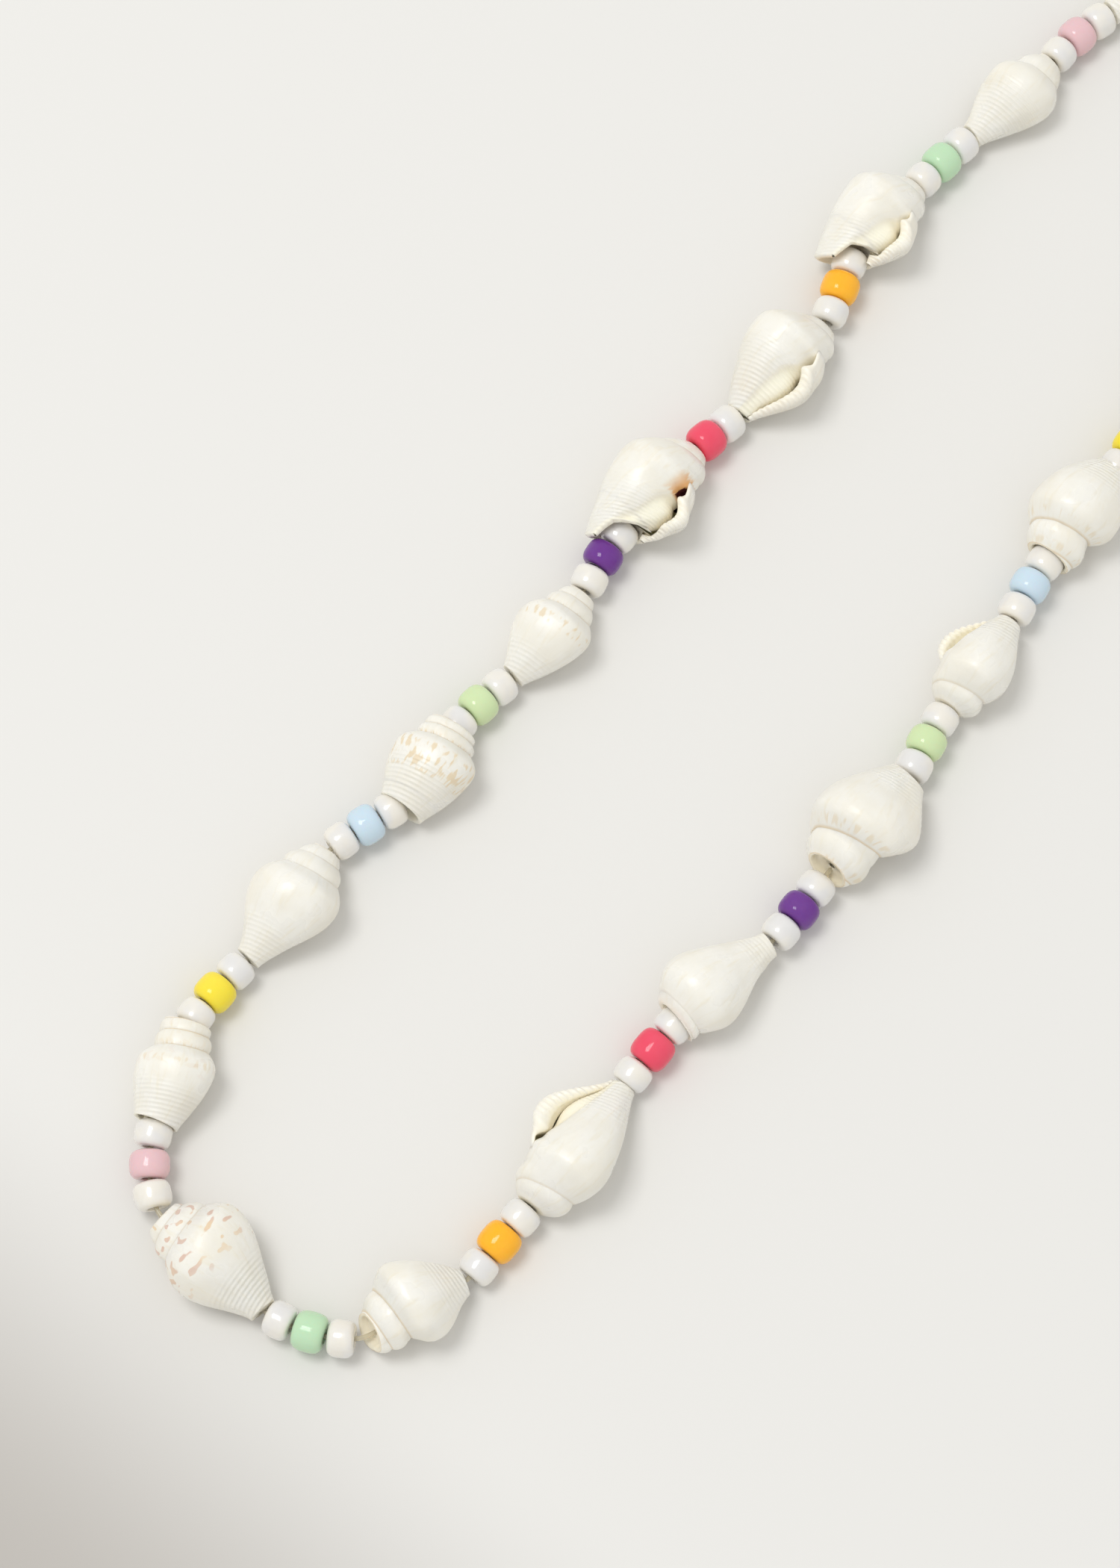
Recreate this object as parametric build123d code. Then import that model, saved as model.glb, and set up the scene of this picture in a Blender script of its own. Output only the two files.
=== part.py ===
from build123d import *
import math
import os
from collections import namedtuple

# A closed string of small sea snail shells with glass beads between them, laid flat on a
# table: Z is up, the loop's long way lies along Y, all sizes are millimetres.

# Glass beads
bead_diameter = 4.1
bead_rounding = 0.95
pearl_diameter = 3.9
pearl_length = 2.7
pearl_rounding = 1.15
bore_diameter = 1.4

# Thread and clasp
thread_diameter = 0.5
clasp_diameter = 4.2
clasp_length = 9.0
clasp_rounding = 1.2
clasp_bore_depth = 2.5

# How the pieces sit on the string
piece_gap = 0.14
turn_gap_reach = 1.1
nest_clearance = 0.4
table_clearance = 0.05
spire_thread_height = 2.6
widest_bead_turn = 60.0
straight_turn = 1.0
arc_share_of_run = 0.45
bore_slack_share = 0.8
rounding_share = 0.9

# Shell walls and openings
shell_wall = 0.5
lip_thickness = 0.8
lip_flare = 1.03
tip_opening_diameter = 1.8
spire_opening_diameter = 2.0
slot_middle_angle = 22.0

# Shell proportions, as shares of the half width
tip_share = 0.30
spire_base_share = 0.70
front_depth_share = 0.80
back_depth_share = 0.88
side_lean_share = 0.10
whorl_bulge_share = 1.07
suture_dip_share = 0.93
whorl_height_ratio = 0.75
spire_fill = 0.60
least_fill = 0.05
suture_tilt = 14.0
body_tilt_share = 0.5

# Stations of a body whorl from the tip to the suture. place: share of the body's length.
# fill: share of the way from the tip's radius to the full radius. opening: degrees that
# the aperture takes out of the round, none where the whorl is closed. curl: how far the
# inner edge rolls in, as a share of the whole roll.
BodyStation = namedtuple("BodyStation", "place fill opening curl")
BODY_STATIONS = [
    BodyStation(0.00, 0.00, 70, 0.0),
    BodyStation(0.11, 0.24, 56, 0.2),
    BodyStation(0.27, 0.54, 44, 0.6),
    BodyStation(0.44, 0.80, 36, 1.0),
    BodyStation(0.61, 0.96, 30, 1.0),
    BodyStation(0.76, 1.00, 22, 0.9),
    BodyStation(0.90, 0.90, 0, 0.0),
]

# A section of the body whorl, from the outer lip back round to the inner edge. turn: share
# of the way round. radius: share of the section's radius before the inner edge's roll.
# roll: share of the whole roll.
SectionPoint = namedtuple("SectionPoint", "turn radius roll")
SECTION = [
    SectionPoint(0.000, 1.00, 0.00),
    SectionPoint(0.075, 1.00, 0.00),
    SectionPoint(0.160, 0.99, 0.00),
    SectionPoint(0.250, 0.98, 0.00),
    SectionPoint(0.340, 0.97, 0.00),
    SectionPoint(0.430, 0.97, 0.00),
    SectionPoint(0.520, 0.97, 0.00),
    SectionPoint(0.610, 0.97, 0.00),
    SectionPoint(0.700, 0.96, 0.00),
    SectionPoint(0.790, 0.95, 0.00),
    SectionPoint(0.875, 0.93, 0.05),
    SectionPoint(0.945, 0.90, 0.45),
    SectionPoint(1.000, 0.88, 1.00),
]

# Shells in the order they are strung, each spire first. heading: degrees in plan from +X.
# length, width: millimetres. spire: share of the length. whorls: spire whorls left.
# roll: degrees, 0 with the aperture up. slot: share of the usual aperture opening.
# curl: how far in the inner edge ends, as a share of the radius. tip_nest, spire_nest:
# how much of the next bead sits inside that end. slant: how much longer the inner side
# of the tip is. belly: above 1 moves the widest place towards the spire.
ShellRow = namedtuple("ShellRow", "heading length width spire whorls roll slot curl "
                                  "tip_nest spire_nest slant belly")
SHELLS = [
    ShellRow(-98, 14.6, 8.6, 0.24, 2, 180, 1.0, 0.85, 0.0, 0.0, 0.8, 1.0),
    ShellRow(-95, 12.3, 7.9, 0.20, 1, 205, 1.0, 0.85, 0.0, 0.0, 0.9, 1.1),
    ShellRow(-91, 13.7, 9.4, 0.18, 1, 5, 2.1, 0.62, 3.9, 0.3, 3.2, 1.0),
    ShellRow(-92, 13.5, 9.7, 0.18, 1, 10, 1.5, 0.60, 0.0, 0.0, 0.9, 1.0),
    ShellRow(-89, 15.0, 9.8, 0.19, 1, 4, 2.0, 0.62, 4.0, 0.2, 3.4, 1.0),
    ShellRow(-88, 11.5, 8.1, 0.26, 2, 176, 1.0, 0.85, 0.0, 0.0, 0.9, 1.0),
    ShellRow(-80, 10.3, 9.0, 0.24, 2, 180, 1.0, 0.85, 1.4, 1.0, 0.9, 1.0),
    ShellRow(-84, 13.8, 9.4, 0.26, 2, 182, 1.0, 0.85, 0.0, 0.0, 0.9, 0.9),
    ShellRow(-65, 10.7, 8.1, 0.28, 2, 178, 1.0, 0.85, 0.6, 0.6, 0.9, 1.0),
    ShellRow(-1, 14.2, 10.0, 0.24, 2, 184, 1.0, 0.85, 0.0, 0.0, 0.9, 1.0),
    ShellRow(71, 11.5, 9.0, 0.30, 2, 172, 1.0, 0.85, 0.0, 0.0, 0.9, 1.0),
    ShellRow(94, 15.4, 9.4, 0.18, 1, 12, 1.2, 0.58, 0.0, 0.0, 0.9, 1.1),
    ShellRow(81, 12.9, 8.8, 0.14, 1, 178, 1.0, 0.85, 0.3, 1.2, 0.9, 1.2),
    ShellRow(91, 13.7, 10.2, 0.24, 1, 186, 1.0, 0.85, 0.4, 0.0, 0.9, 0.9),
    ShellRow(95, 11.7, 8.7, 0.20, 1, 18, 1.1, 0.58, 0.3, 0.0, 0.9, 1.1),
    ShellRow(94, 11.9, 9.4, 0.22, 1, 180, 1.0, 0.85, 0.6, 0.8, 0.9, 0.9),
    ShellRow(92, 11.6, 8.8, 0.24, 2, 180, 1.0, 0.85, 0.0, 0.0, 0.9, 1.0),
    ShellRow(91, 11.5, 8.8, 0.24, 2, 180, 1.0, 0.85, 0.0, 0.0, 0.9, 1.0),
    ShellRow(114, 11.6, 8.6, 0.24, 2, 180, 1.0, 0.85, 0.0, 0.0, 0.9, 1.0),
]

# Bead groups: a white pearl, a coloured bead and a white pearl, one group before each
# shell and one after the last. length: the coloured bead's. heading: degrees in plan.
# bend: degrees between each two beads. last_pearl: false where the coloured bead sits
# straight against the shell.
GroupRow = namedtuple("GroupRow", "colour length heading bend last_pearl")
GROUPS = [
    GroupRow("yellow", 2.9, -135, 18, True),
    GroupRow("pink", 2.9, -96, 8, True),
    GroupRow("mint", 3.0, -93, 2, True),
    GroupRow("orange", 3.0, -70, 0, True),
    GroupRow("red", 3.1, -96, 0, False),
    GroupRow("purple", 2.7, -81, 6, True),
    GroupRow("light_green", 2.9, -94, 4, True),
    GroupRow("light_blue", 2.9, -106, 2, True),
    GroupRow("yellow", 3.0, -88, 4, True),
    GroupRow("pink", 2.8, -48, 12, True),
    GroupRow("mint", 3.1, 24, 10, True),
    GroupRow("orange", 3.3, 91, -2, True),
    GroupRow("red", 3.4, 91, -2, True),
    GroupRow("purple", 2.8, 93, 2, True),
    GroupRow("light_green", 2.8, 102, -2, True),
    GroupRow("light_blue", 2.8, 100, -4, True),
    GroupRow("yellow", 2.9, 96, 0, True),
    GroupRow("pink", 2.9, 92, 0, True),
    GroupRow("mint", 2.9, 96, 4, True),
    GroupRow("orange", 2.9, 150, 18, True),
]
CLASP_HEADING = -172

Piece = namedtuple("Piece", "kind index length heading start_height end_height")
Section = namedtuple("Section", "height radius fill opening curl tilt")


def rounded_barrel(diameter, length, rounding):
    """A round barrel about the Z axis, its rounding kept clear of its middle and bore."""
    barrel = Cylinder(diameter / 2, length)
    widest = rounding_share * min(length, diameter - bore_diameter) / 2
    return fillet(barrel.edges().filter_by(GeomType.CIRCLE), min(rounding, widest))


def bead_solid(diameter, length, rounding):
    """A drilled round bead about the Z axis, centred on the origin."""
    bead = rounded_barrel(diameter, length, rounding)
    return bead - Cylinder(bore_diameter / 2, 2 * length)


def clasp_solid():
    """A plain closed barrel with a blind bore in each end for the thread."""
    clasp = rounded_barrel(clasp_diameter, clasp_length, clasp_rounding)
    for side in (-1, 1):
        middle = side * (clasp_length - clasp_bore_depth) / 2
        clasp = clasp - Pos(0, 0, middle) * Cylinder(bore_diameter / 2, clasp_bore_depth)
    return clasp


def chord_length(row):
    """The length of thread inside a shell, between the beads at its two ends."""
    return row.length - row.tip_nest - row.spire_nest


def end_radii(row):
    """Outer radii of a shell's tip and of its ground spire end."""
    nested = pearl_diameter / 2 + nest_clearance + shell_wall
    tip = max(tip_share * row.width / 2, tip_opening_diameter / 2 + shell_wall)
    spire = spire_opening_diameter / 2 + shell_wall
    if row.tip_nest:
        tip = max(tip, nested)
    if row.spire_nest:
        spire = max(spire, nested)
    return tip, spire


def shell_sections(row):
    """The shell's stations from tip to spire. fill: share of the full swelling. opening:
    degrees of the aperture. curl: share of the inner edge's roll. tilt: share of the
    suture's tilt."""
    tip, top = end_radii(row)
    full = row.width / 2
    body = row.length * (1 - row.spire)
    sections = []
    for station in BODY_STATIONS:
        place = station.place ** (1 / row.belly)
        height = body * place
        radius = tip + (full - tip) * station.fill
        opening = station.opening * row.slot
        curl = station.curl if height > row.tip_nest + shell_wall / 2 else 0.0
        tilt = body_tilt_share * place ** 2 if opening else place
        sections.append(Section(height, radius, station.fill, opening, curl, tilt))
    base = max(spire_base_share * full, top)
    sections.append(Section(body, base, spire_fill, 0.0, 0.0, 1.0))
    steps = [whorl_height_ratio ** k for k in range(row.whorls)]
    sutures = [sum(steps[:k + 1]) / sum(steps) for k in range(row.whorls)]
    for below, above in zip([0.0] + sutures, sutures):
        dip = 1.0 if above == sutures[-1] else suture_dip_share
        for share, swell in (((below + above) / 2, whorl_bulge_share), (above, dip)):
            radius = (base + (top - base) * share) * swell
            height = body + (row.length - body) * share
            fill = spire_fill * (1 - share)
            sections.append(Section(height, radius, fill, 0.0, 0.0, 1 - share))
    return sections


def shell_grid(row):
    """Outer and inner points of every section, in the shell's own axes: X out of the
    aperture's side, Y towards the outer lip, Z from tip to spire. Also the number of
    sections that the aperture cuts open."""
    sections = shell_sections(row)
    full = row.width / 2
    open_rows = sum(1 for section in sections if section.opening > 0)
    tilt = math.tan(math.radians(suture_tilt)) * math.cos(math.radians(row.roll))
    belly_height = sections[open_rows - 1].height
    outer, inner = [], []
    for section in sections:
        lip_angle = slot_middle_angle + section.opening / 2
        rolled = 1 - (1 - row.curl) * section.curl
        lean = side_lean_share * full * section.fill
        slant_here = row.slant * max(0.0, 1 - section.height / belly_height)
        outer_row, inner_row = [], []
        for point in SECTION:
            angle = math.radians(lip_angle + point.turn * (360 - section.opening))
            share = 1.0
            wall = shell_wall
            if section.opening > 0:
                share = 1 - (1 - point.radius) * section.curl
                share *= 1 - (1 - rolled) * point.roll
                if point.turn == 0:
                    share *= 1 + (lip_flare - 1) * section.fill
                    wall = shell_wall + (lip_thickness - shell_wall) * section.fill
            depth = front_depth_share if math.cos(angle) > 0 else back_depth_share
            depth = 1 - (1 - depth) * section.fill
            reach = section.radius * share
            for points, radius in ((outer_row, reach), (inner_row, reach - wall)):
                y = radius * math.sin(angle)
                z = section.height + slant_here * (1 + math.sin(angle)) / 2
                z += y * tilt * section.tilt
                points.append((radius * math.cos(angle) * depth, y - lean, z))
        if section.opening == 0:
            outer_row[-1] = outer_row[0]
            inner_row[-1] = inner_row[0]
        outer.append(outer_row)
        inner.append(inner_row)
    return outer, inner, open_rows


def shell_lift(row, tip_height, spire_height):
    """How far the sections rise above the thread's line, as a share of their fill, so
    that the belly rests on the table."""
    outer, _, _ = shell_grid(row)
    sections = shell_sections(row)
    turn = math.radians(row.roll)
    lift = 0.0
    for points, section in zip(outer, sections):
        if section.fill < least_fill:
            continue
        for x, y, z in points:
            share = (z - row.tip_nest) / chord_length(row)
            line = tip_height + (spire_height - tip_height) * share
            drop = -(x * math.cos(turn) - y * math.sin(turn)) - line + table_clearance
            lift = max(lift, drop / section.fill)
    return lift


def shell_heights(row):
    """Heights of the thread above the table at a shell's spire end and tip end."""
    tip, top = end_radii(row)
    lowest = bead_diameter / 2 + table_clearance
    return max(spire_thread_height, top + table_clearance), max(lowest, tip + table_clearance)


def shell_solid(row, entry, leave):
    """One hollow shell, its spire end at entry and its tip end at leave."""
    outer, inner, open_rows = shell_grid(row)
    sections = shell_sections(row)
    lift = shell_lift(row, leave.Z, entry.Z)
    axis = (entry - leave).normalized()
    up = (Vector(0, 0, 1) - axis * axis.Z).normalized()
    side = axis.cross(up)
    turn = math.radians(row.roll)
    x_axis = up * math.cos(turn) + side * math.sin(turn)
    y_axis = axis.cross(x_axis)
    origin = leave - axis * row.tip_nest

    def placed(points, fill):
        return [origin + x_axis * x + y_axis * y + axis * z + up * (lift * fill)
                for x, y, z in points]

    outer = [placed(points, section.fill) for points, section in zip(outer, sections)]
    inner = [placed(points, section.fill) for points, section in zip(inner, sections)]
    quads = []
    last = len(SECTION) - 1
    for low, high in zip(range(len(sections) - 1), range(1, len(sections))):
        for j in range(last):
            quads.append((outer[low][j], outer[low][j + 1], outer[high][j + 1], outer[high][j]))
            quads.append((inner[low][j], inner[high][j], inner[high][j + 1], inner[low][j + 1]))
        if low < open_rows:
            quads.append((outer[low][0], outer[high][0], inner[high][0], inner[low][0]))
            quads.append((outer[low][last], inner[low][last], inner[high][last], outer[high][last]))
    for j in range(last):
        quads.append((outer[0][j], inner[0][j], inner[0][j + 1], outer[0][j + 1]))
        quads.append((outer[-1][j], outer[-1][j + 1], inner[-1][j + 1], inner[-1][j]))
    faces = []
    for a, b, c, d in quads:
        faces.append(Face(Wire.make_polygon([a, b, c])))
        faces.append(Face(Wire.make_polygon([a, c, d])))
    return Solid(Shell(faces))


def string_pieces():
    """Every piece on the string in order, from the clasp round to the clasp again."""
    clasp_height = clasp_diameter / 2 + table_clearance
    pieces = [Piece("clasp", 1, clasp_length, CLASP_HEADING, clasp_height, clasp_height)]
    height = clasp_height
    for number, group in enumerate(GROUPS, 1):
        shell = SHELLS[number - 1] if number <= len(SHELLS) else None
        spire_height, tip_height = shell_heights(shell) if shell else (clasp_height, None)
        beads = [("pearl", pearl_length, -1), ("bead", group.length, 0)]
        if group.last_pearl:
            beads.append(("pearl", pearl_length, 1))
        whole = sum(length for _, length, _ in beads)
        start = height
        for kind, length, side in beads:
            end = start + (spire_height - height) * length / whole
            pieces.append(Piece(kind, number, length, group.heading + side * group.bend,
                                start, end))
            start = end
        if shell:
            pieces.append(Piece("shell", number, chord_length(shell), shell.heading,
                                spire_height, tip_height))
            height = tip_height
    return pieces


def turn_between(first, second):
    """Degrees between the headings of two neighbours in plan."""
    return abs((second.heading - first.heading + 180) % 360 - 180)


def string_points(pieces):
    """The corner points of the thread, one before each piece and one after the last, the
    loop's small closing error spread evenly along it, and the gap at each corner."""
    gaps = []
    for k, piece in enumerate(pieces):
        turn = min(turn_between(pieces[k - 1], piece), widest_bead_turn)
        gaps.append(piece_gap + turn_gap_reach * math.tan(math.radians(turn)))
    gaps.append(gaps[0])
    plan = [Vector(0, 0, 0)]
    along = [0.0]
    for k, piece in enumerate(pieces):
        rise = piece.end_height - piece.start_height
        run = math.sqrt(piece.length ** 2 - rise ** 2) + (gaps[k] + gaps[k + 1]) / 2
        step = Vector(run, 0, 0).rotate(Axis.Z, piece.heading)
        plan.append(plan[-1] + step)
        along.append(along[-1] + run)
    error = plan[-1]
    heights = [piece.start_height for piece in pieces] + [pieces[-1].end_height]
    points = []
    for point, distance, height in zip(plan, along, heights):
        moved = point - error * (distance / along[-1])
        points.append(Vector(moved.X, moved.Y, height))
    return points, gaps, error


def piece_ends(points, gaps, pieces):
    """Start and end point of each piece on the thread, centred between its gaps."""
    ends = []
    for k, piece in enumerate(pieces):
        way = (points[k + 1] - points[k]).normalized()
        run = (points[k + 1] - points[k]).length
        spare = run - piece.length
        before = spare * gaps[k] / (gaps[k] + gaps[k + 1])
        start = points[k] + way * before
        ends.append((start, start + way * piece.length))
    return ends


def thread_solid(points, ends):
    """The thread from inside one end of the clasp round to inside the other."""
    clasp_start, clasp_end = ends[0]
    inward = (clasp_end - clasp_start).normalized() * (clasp_bore_depth - piece_gap)
    corners = [clasp_end - inward] + points[1:] + [clasp_start + inward]
    kept = [corners[0]]
    for k in range(1, len(corners) - 1):
        turn = (corners[k] - kept[-1]).get_angle(corners[k + 1] - corners[k])
        if turn > straight_turn:
            kept.append(corners[k])
    kept.append(corners[-1])
    slack = (bore_diameter - thread_diameter) / 2 * bore_slack_share
    radii = []
    for before, corner, after in zip(kept, kept[1:], kept[2:]):
        half_turn = math.radians((corner - before).get_angle(after - corner)) / 2
        shorter = min((corner - before).length, (after - corner).length)
        widest = slack / (1 / math.cos(half_turn) - 1)
        radii.append(min(arc_share_of_run * shorter / math.tan(half_turn), widest))
    path = FilletPolyline(*kept, radius=radii)
    start = Plane(origin=path @ 0, z_dir=path % 0)
    return sweep(start * Circle(thread_diameter / 2), path=path), path.length, min(radii)


def along_string(solid, start, end):
    """A solid made about the Z axis, turned and moved onto its stretch of thread."""
    return Plane(origin=(start + end) / 2, z_dir=end - start).location * solid


def necklace():
    """Every node's solid by name, in the order of the string."""
    pieces = string_pieces()
    points, gaps, error = string_points(pieces)
    ends = piece_ends(points, gaps, pieces)
    pearl = bead_solid(pearl_diameter, pearl_length, pearl_rounding)
    nodes = {}
    pearls = []
    for piece, (start, end) in zip(pieces, ends):
        if piece.kind == "shell":
            name = f"shell_{piece.index:02d}"
            nodes[name] = shell_solid(SHELLS[piece.index - 1], start, end)
        elif piece.kind == "bead":
            name = f"bead_{piece.index:02d}_{GROUPS[piece.index - 1].colour}"
            bead = bead_solid(bead_diameter, piece.length, bead_rounding)
            nodes[name] = along_string(bead, start, end)
        elif piece.kind == "pearl":
            pearls.append(along_string(pearl, start, end))
        else:
            nodes["clasp"] = along_string(clasp_solid(), start, end)
    nodes["pearl_beads"] = Compound(children=pearls)
    nodes["thread"], thread_length, smallest = thread_solid(points, ends)
    print(f"closing error {error.length:.2f}, thread {thread_length:.1f} long, "
          f"volume {nodes['thread'].volume:.2f} against "
          f"{thread_length * math.pi * thread_diameter ** 2 / 4:.2f}, "
          f"smallest arc {smallest:.2f}")
    return nodes


def centred(nodes):
    """The nodes moved so that the middle of the loop's underside is the origin."""
    box = Compound(children=[node.moved(Location()) for node in nodes.values()]).bounding_box()
    middle = box.center()
    move = Location(Vector(-middle.X, -middle.Y, -box.min.Z))
    return {name: node.moved(move) for name, node in nodes.items()}


os.makedirs("parts", exist_ok=True)
for name, node in centred(necklace()).items():
    export_step(node, f"parts/{name}.step")
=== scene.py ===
import math
from collections import namedtuple

import bmesh
import bpy
import numpy as np
from mathutils import Matrix, Vector


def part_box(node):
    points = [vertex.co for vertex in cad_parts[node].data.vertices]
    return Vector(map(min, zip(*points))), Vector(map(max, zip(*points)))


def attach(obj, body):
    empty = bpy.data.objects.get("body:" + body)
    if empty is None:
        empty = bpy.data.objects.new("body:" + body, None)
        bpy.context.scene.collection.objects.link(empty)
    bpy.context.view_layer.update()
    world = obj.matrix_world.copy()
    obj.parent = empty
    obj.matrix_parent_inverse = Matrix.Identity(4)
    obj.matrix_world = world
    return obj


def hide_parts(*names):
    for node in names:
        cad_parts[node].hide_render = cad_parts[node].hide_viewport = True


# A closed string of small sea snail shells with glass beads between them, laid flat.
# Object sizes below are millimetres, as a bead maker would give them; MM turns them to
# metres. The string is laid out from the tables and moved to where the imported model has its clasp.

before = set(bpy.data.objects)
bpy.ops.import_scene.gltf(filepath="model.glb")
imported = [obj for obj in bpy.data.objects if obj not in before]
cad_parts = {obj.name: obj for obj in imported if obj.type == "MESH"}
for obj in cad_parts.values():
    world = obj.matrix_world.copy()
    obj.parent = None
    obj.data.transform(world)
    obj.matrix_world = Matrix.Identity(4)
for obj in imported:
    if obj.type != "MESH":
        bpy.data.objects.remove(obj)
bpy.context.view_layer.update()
MM = 0.001

# The view: almost straight down, from the photograph's distance and turn.
LOOK_AT = Vector((-5.96, -32.45, 0.0))
CAMERA_DISTANCE = 430.8
CAMERA_TILT = 18.0
PICTURE_TURN = 41.0
PICTURE_WIDTH_PX = 1500
FOCAL_LENGTH_PX = 5600
SENSOR_WIDTH = 36.0
NEAREST_SEEN = 10.0


def picture_direction(right, up, out):
    """A direction given as the picture shows it, turned into the necklace's frame."""
    turn = Matrix.Rotation(math.radians(PICTURE_TURN), 3, "Z")
    return turn @ Vector((right, up, out))


def put_in_scene(name, data):
    """A new object that holds the data, linked to the scene."""
    thing = bpy.data.objects.new(name, data)
    bpy.context.scene.collection.objects.link(thing)
    return thing


def make_camera():
    """The camera at the photograph's angle to the table."""
    tilt = math.radians(CAMERA_TILT)
    back = picture_direction(0, -math.sin(tilt), math.cos(tilt))
    upward = picture_direction(0, math.cos(tilt), math.sin(tilt))
    data = bpy.data.cameras.new("camera")
    data.sensor_fit = "HORIZONTAL"
    data.sensor_width = SENSOR_WIDTH
    data.lens = SENSOR_WIDTH * FOCAL_LENGTH_PX / PICTURE_WIDTH_PX
    data.clip_start = NEAREST_SEEN * MM
    turn = Matrix((upward.cross(back), upward, back)).transposed().to_4x4()
    camera = put_in_scene("camera", data)
    camera.matrix_world = Matrix.Translation((LOOK_AT + back * CAMERA_DISTANCE) * MM) @ turn
    bpy.context.scene.camera = camera


make_camera()
bpy.context.scene.view_settings.view_transform = "Standard"


def colour(code):
    """A linear colour from an sRGB hex code."""
    parts = [int(code[k:k + 2], 16) / 255 for k in (1, 3, 5)]
    linear = [c / 12.92 if c <= 0.04045 else ((c + 0.055) / 1.055) ** 2.4 for c in parts]
    return (*linear, 1.0)


def add_node(tree, kind, inputs=None, output=0, **settings):
    """A new node with its settings and its inputs by name or number, each a socket, a
    value or a hex code. It gives back the output asked for, where the node has one."""
    node = tree.nodes.new(kind)
    for name, value in settings.items():
        setattr(node, name, value)
    for name, value in (inputs or {}).items():
        if isinstance(value, bpy.types.NodeSocket):
            tree.links.new(value, node.inputs[name])
        elif isinstance(value, str) and value.startswith("#"):
            node.inputs[name].default_value = colour(value)
        else:
            node.inputs[name].default_value = value
    return node.outputs[output] if len(node.outputs) else None


def new_material(name):
    """A material and its empty node tree."""
    material = bpy.data.materials.new(name)
    material.use_nodes = True
    material.node_tree.nodes.clear()
    return material, material.node_tree


def finish_surface(tree, inputs):
    """The material's shader with its inputs, on its surface."""
    shader = add_node(tree, "ShaderNodeBsdfPrincipled", inputs)
    add_node(tree, "ShaderNodeOutputMaterial", {"Surface": shader})


def coated(tree, base, paint, strength, *edges):
    """A colour with paint over it, at full strength only where each value is past its
    edge. An edge: the value, where the paint begins and where it is full."""
    for value, begins, full in edges:
        strength = add_node(tree, "ShaderNodeMapRange",
                            {"Value": value, "From Min": begins, "From Max": full,
                             "To Max": strength}, interpolation_type="SMOOTHSTEP")
    return add_node(tree, "ShaderNodeMix", {"Factor": strength, 6: base, 7: paint}, 2,
                    data_type="RGBA")


def clouds(tree, per_mm, detail=2.0):
    """Even noise in the piece's own space. per_mm: how many patches a millimetre has."""
    spot = add_node(tree, "ShaderNodeTexCoord", output="Object")
    return add_node(tree, "ShaderNodeTexNoise",
                    {"Vector": spot, "Scale": per_mm / MM, "Detail": detail})


# The stage: a pale table and the soft light of a big window to the upper left.
FLOOR_SPAN = 4000.0
FLOOR_COLOUR = "#E3E1DC"
# painted shade: the board's colour darkens towards the lower left, along SHADE_WAY, from
# SHADE_STARTS to SHADE_FULL mm past the view's middle
FLOOR_PAINTED_SHADE = "#B9B4AD"
FLOOR_ROUGHNESS = 0.85
SHADE_WAY = (-0.63, -0.78)
SHADE_STARTS = 56.0
SHADE_FULL = 98.0
KEY_LIGHT_SIZE = 400.0
KEY_LIGHT_DISTANCE = 1100.0
KEY_LIGHT_FROM = (-0.31, 0.10, 1.0)
KEY_LIGHT_POWER = 4.6
SKY_COLOUR = "#FDFEFF"
SKY_STRENGTH = 0.78


def make_floor():
    """A plain pale board, far larger than the view, its colour darkened towards the lower left by
    painted shade.
    """
    half = FLOOR_SPAN / 2 * MM
    mesh = bpy.data.meshes.new("table")
    sides = [(-half, -half, 0), (half, -half, 0), (half, half, 0), (-half, half, 0)]
    mesh.from_pydata(sides, [], [(0, 1, 2, 3)])
    material, tree = new_material("matt painted board")
    spot = add_node(tree, "ShaderNodeTexCoord", output="Object")
    way = picture_direction(*SHADE_WAY, 0)
    start = way.dot(LOOK_AT)
    along = add_node(tree, "ShaderNodeVectorMath", {0: spot, 1: way}, "Value",
                     operation="DOT_PRODUCT")
    # painted shade towards the lower left, mixed into the board's colour
    board = coated(tree, FLOOR_COLOUR, FLOOR_PAINTED_SHADE, 1.0,
                   (along, (start + SHADE_STARTS) * MM, (start + SHADE_FULL) * MM))
    finish_surface(tree, {"Base Color": board, "Roughness": FLOOR_ROUGHNESS})
    mesh.materials.append(material)
    put_in_scene("table", mesh)


def make_lights():
    """One large soft source from the upper left and an even white surround."""
    data = bpy.data.lights.new("window", "AREA")
    data.shape = "SQUARE"
    data.size = KEY_LIGHT_SIZE * MM
    data.energy = KEY_LIGHT_POWER
    away = picture_direction(*KEY_LIGHT_FROM).normalized()
    aim = away.to_track_quat("Z", "Y").to_matrix().to_4x4()
    place = Matrix.Translation((LOOK_AT + away * KEY_LIGHT_DISTANCE) * MM)
    put_in_scene("window", data).matrix_world = place @ aim
    world = bpy.data.worlds.new("surround")
    world.use_nodes = True
    sky = world.node_tree.nodes["Background"]
    sky.inputs["Color"].default_value = colour(SKY_COLOUR)
    sky.inputs["Strength"].default_value = SKY_STRENGTH
    bpy.context.scene.world = world


make_floor()
make_lights()

# Sizes of beads and thread, in millimetres
BEAD_DIAMETER = 4.1
PEARL_DIAMETER = 3.9
PEARL_LENGTH = 2.7
PEARL_ROUNDING = 1.15
BORE_DIAMETER = 1.4
BORE_ROUNDING = 0.18
THREAD_DIAMETER = 0.5
CLASP_DIAMETER = 4.2
CLASP_LENGTH = 9.0
CLASP_ROUNDING = 1.2
CLASP_BORE_DEPTH = 2.5

# How the pieces sit on the string: gaps and heights in millimetres, turns in degrees
PIECE_GAP = 0.14
TURN_GAP_REACH = 1.1
NEST_CLEARANCE = 0.4
TABLE_CLEARANCE = 0.05
SPIRE_THREAD_HEIGHT = 2.6
WIDEST_BEAD_TURN = 60.0
STRAIGHT_TURN = 1.0
ARC_SHARE_OF_RUN = 0.45
BORE_SLACK_SHARE = 0.8
CLASP_HEADING = -172

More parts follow.
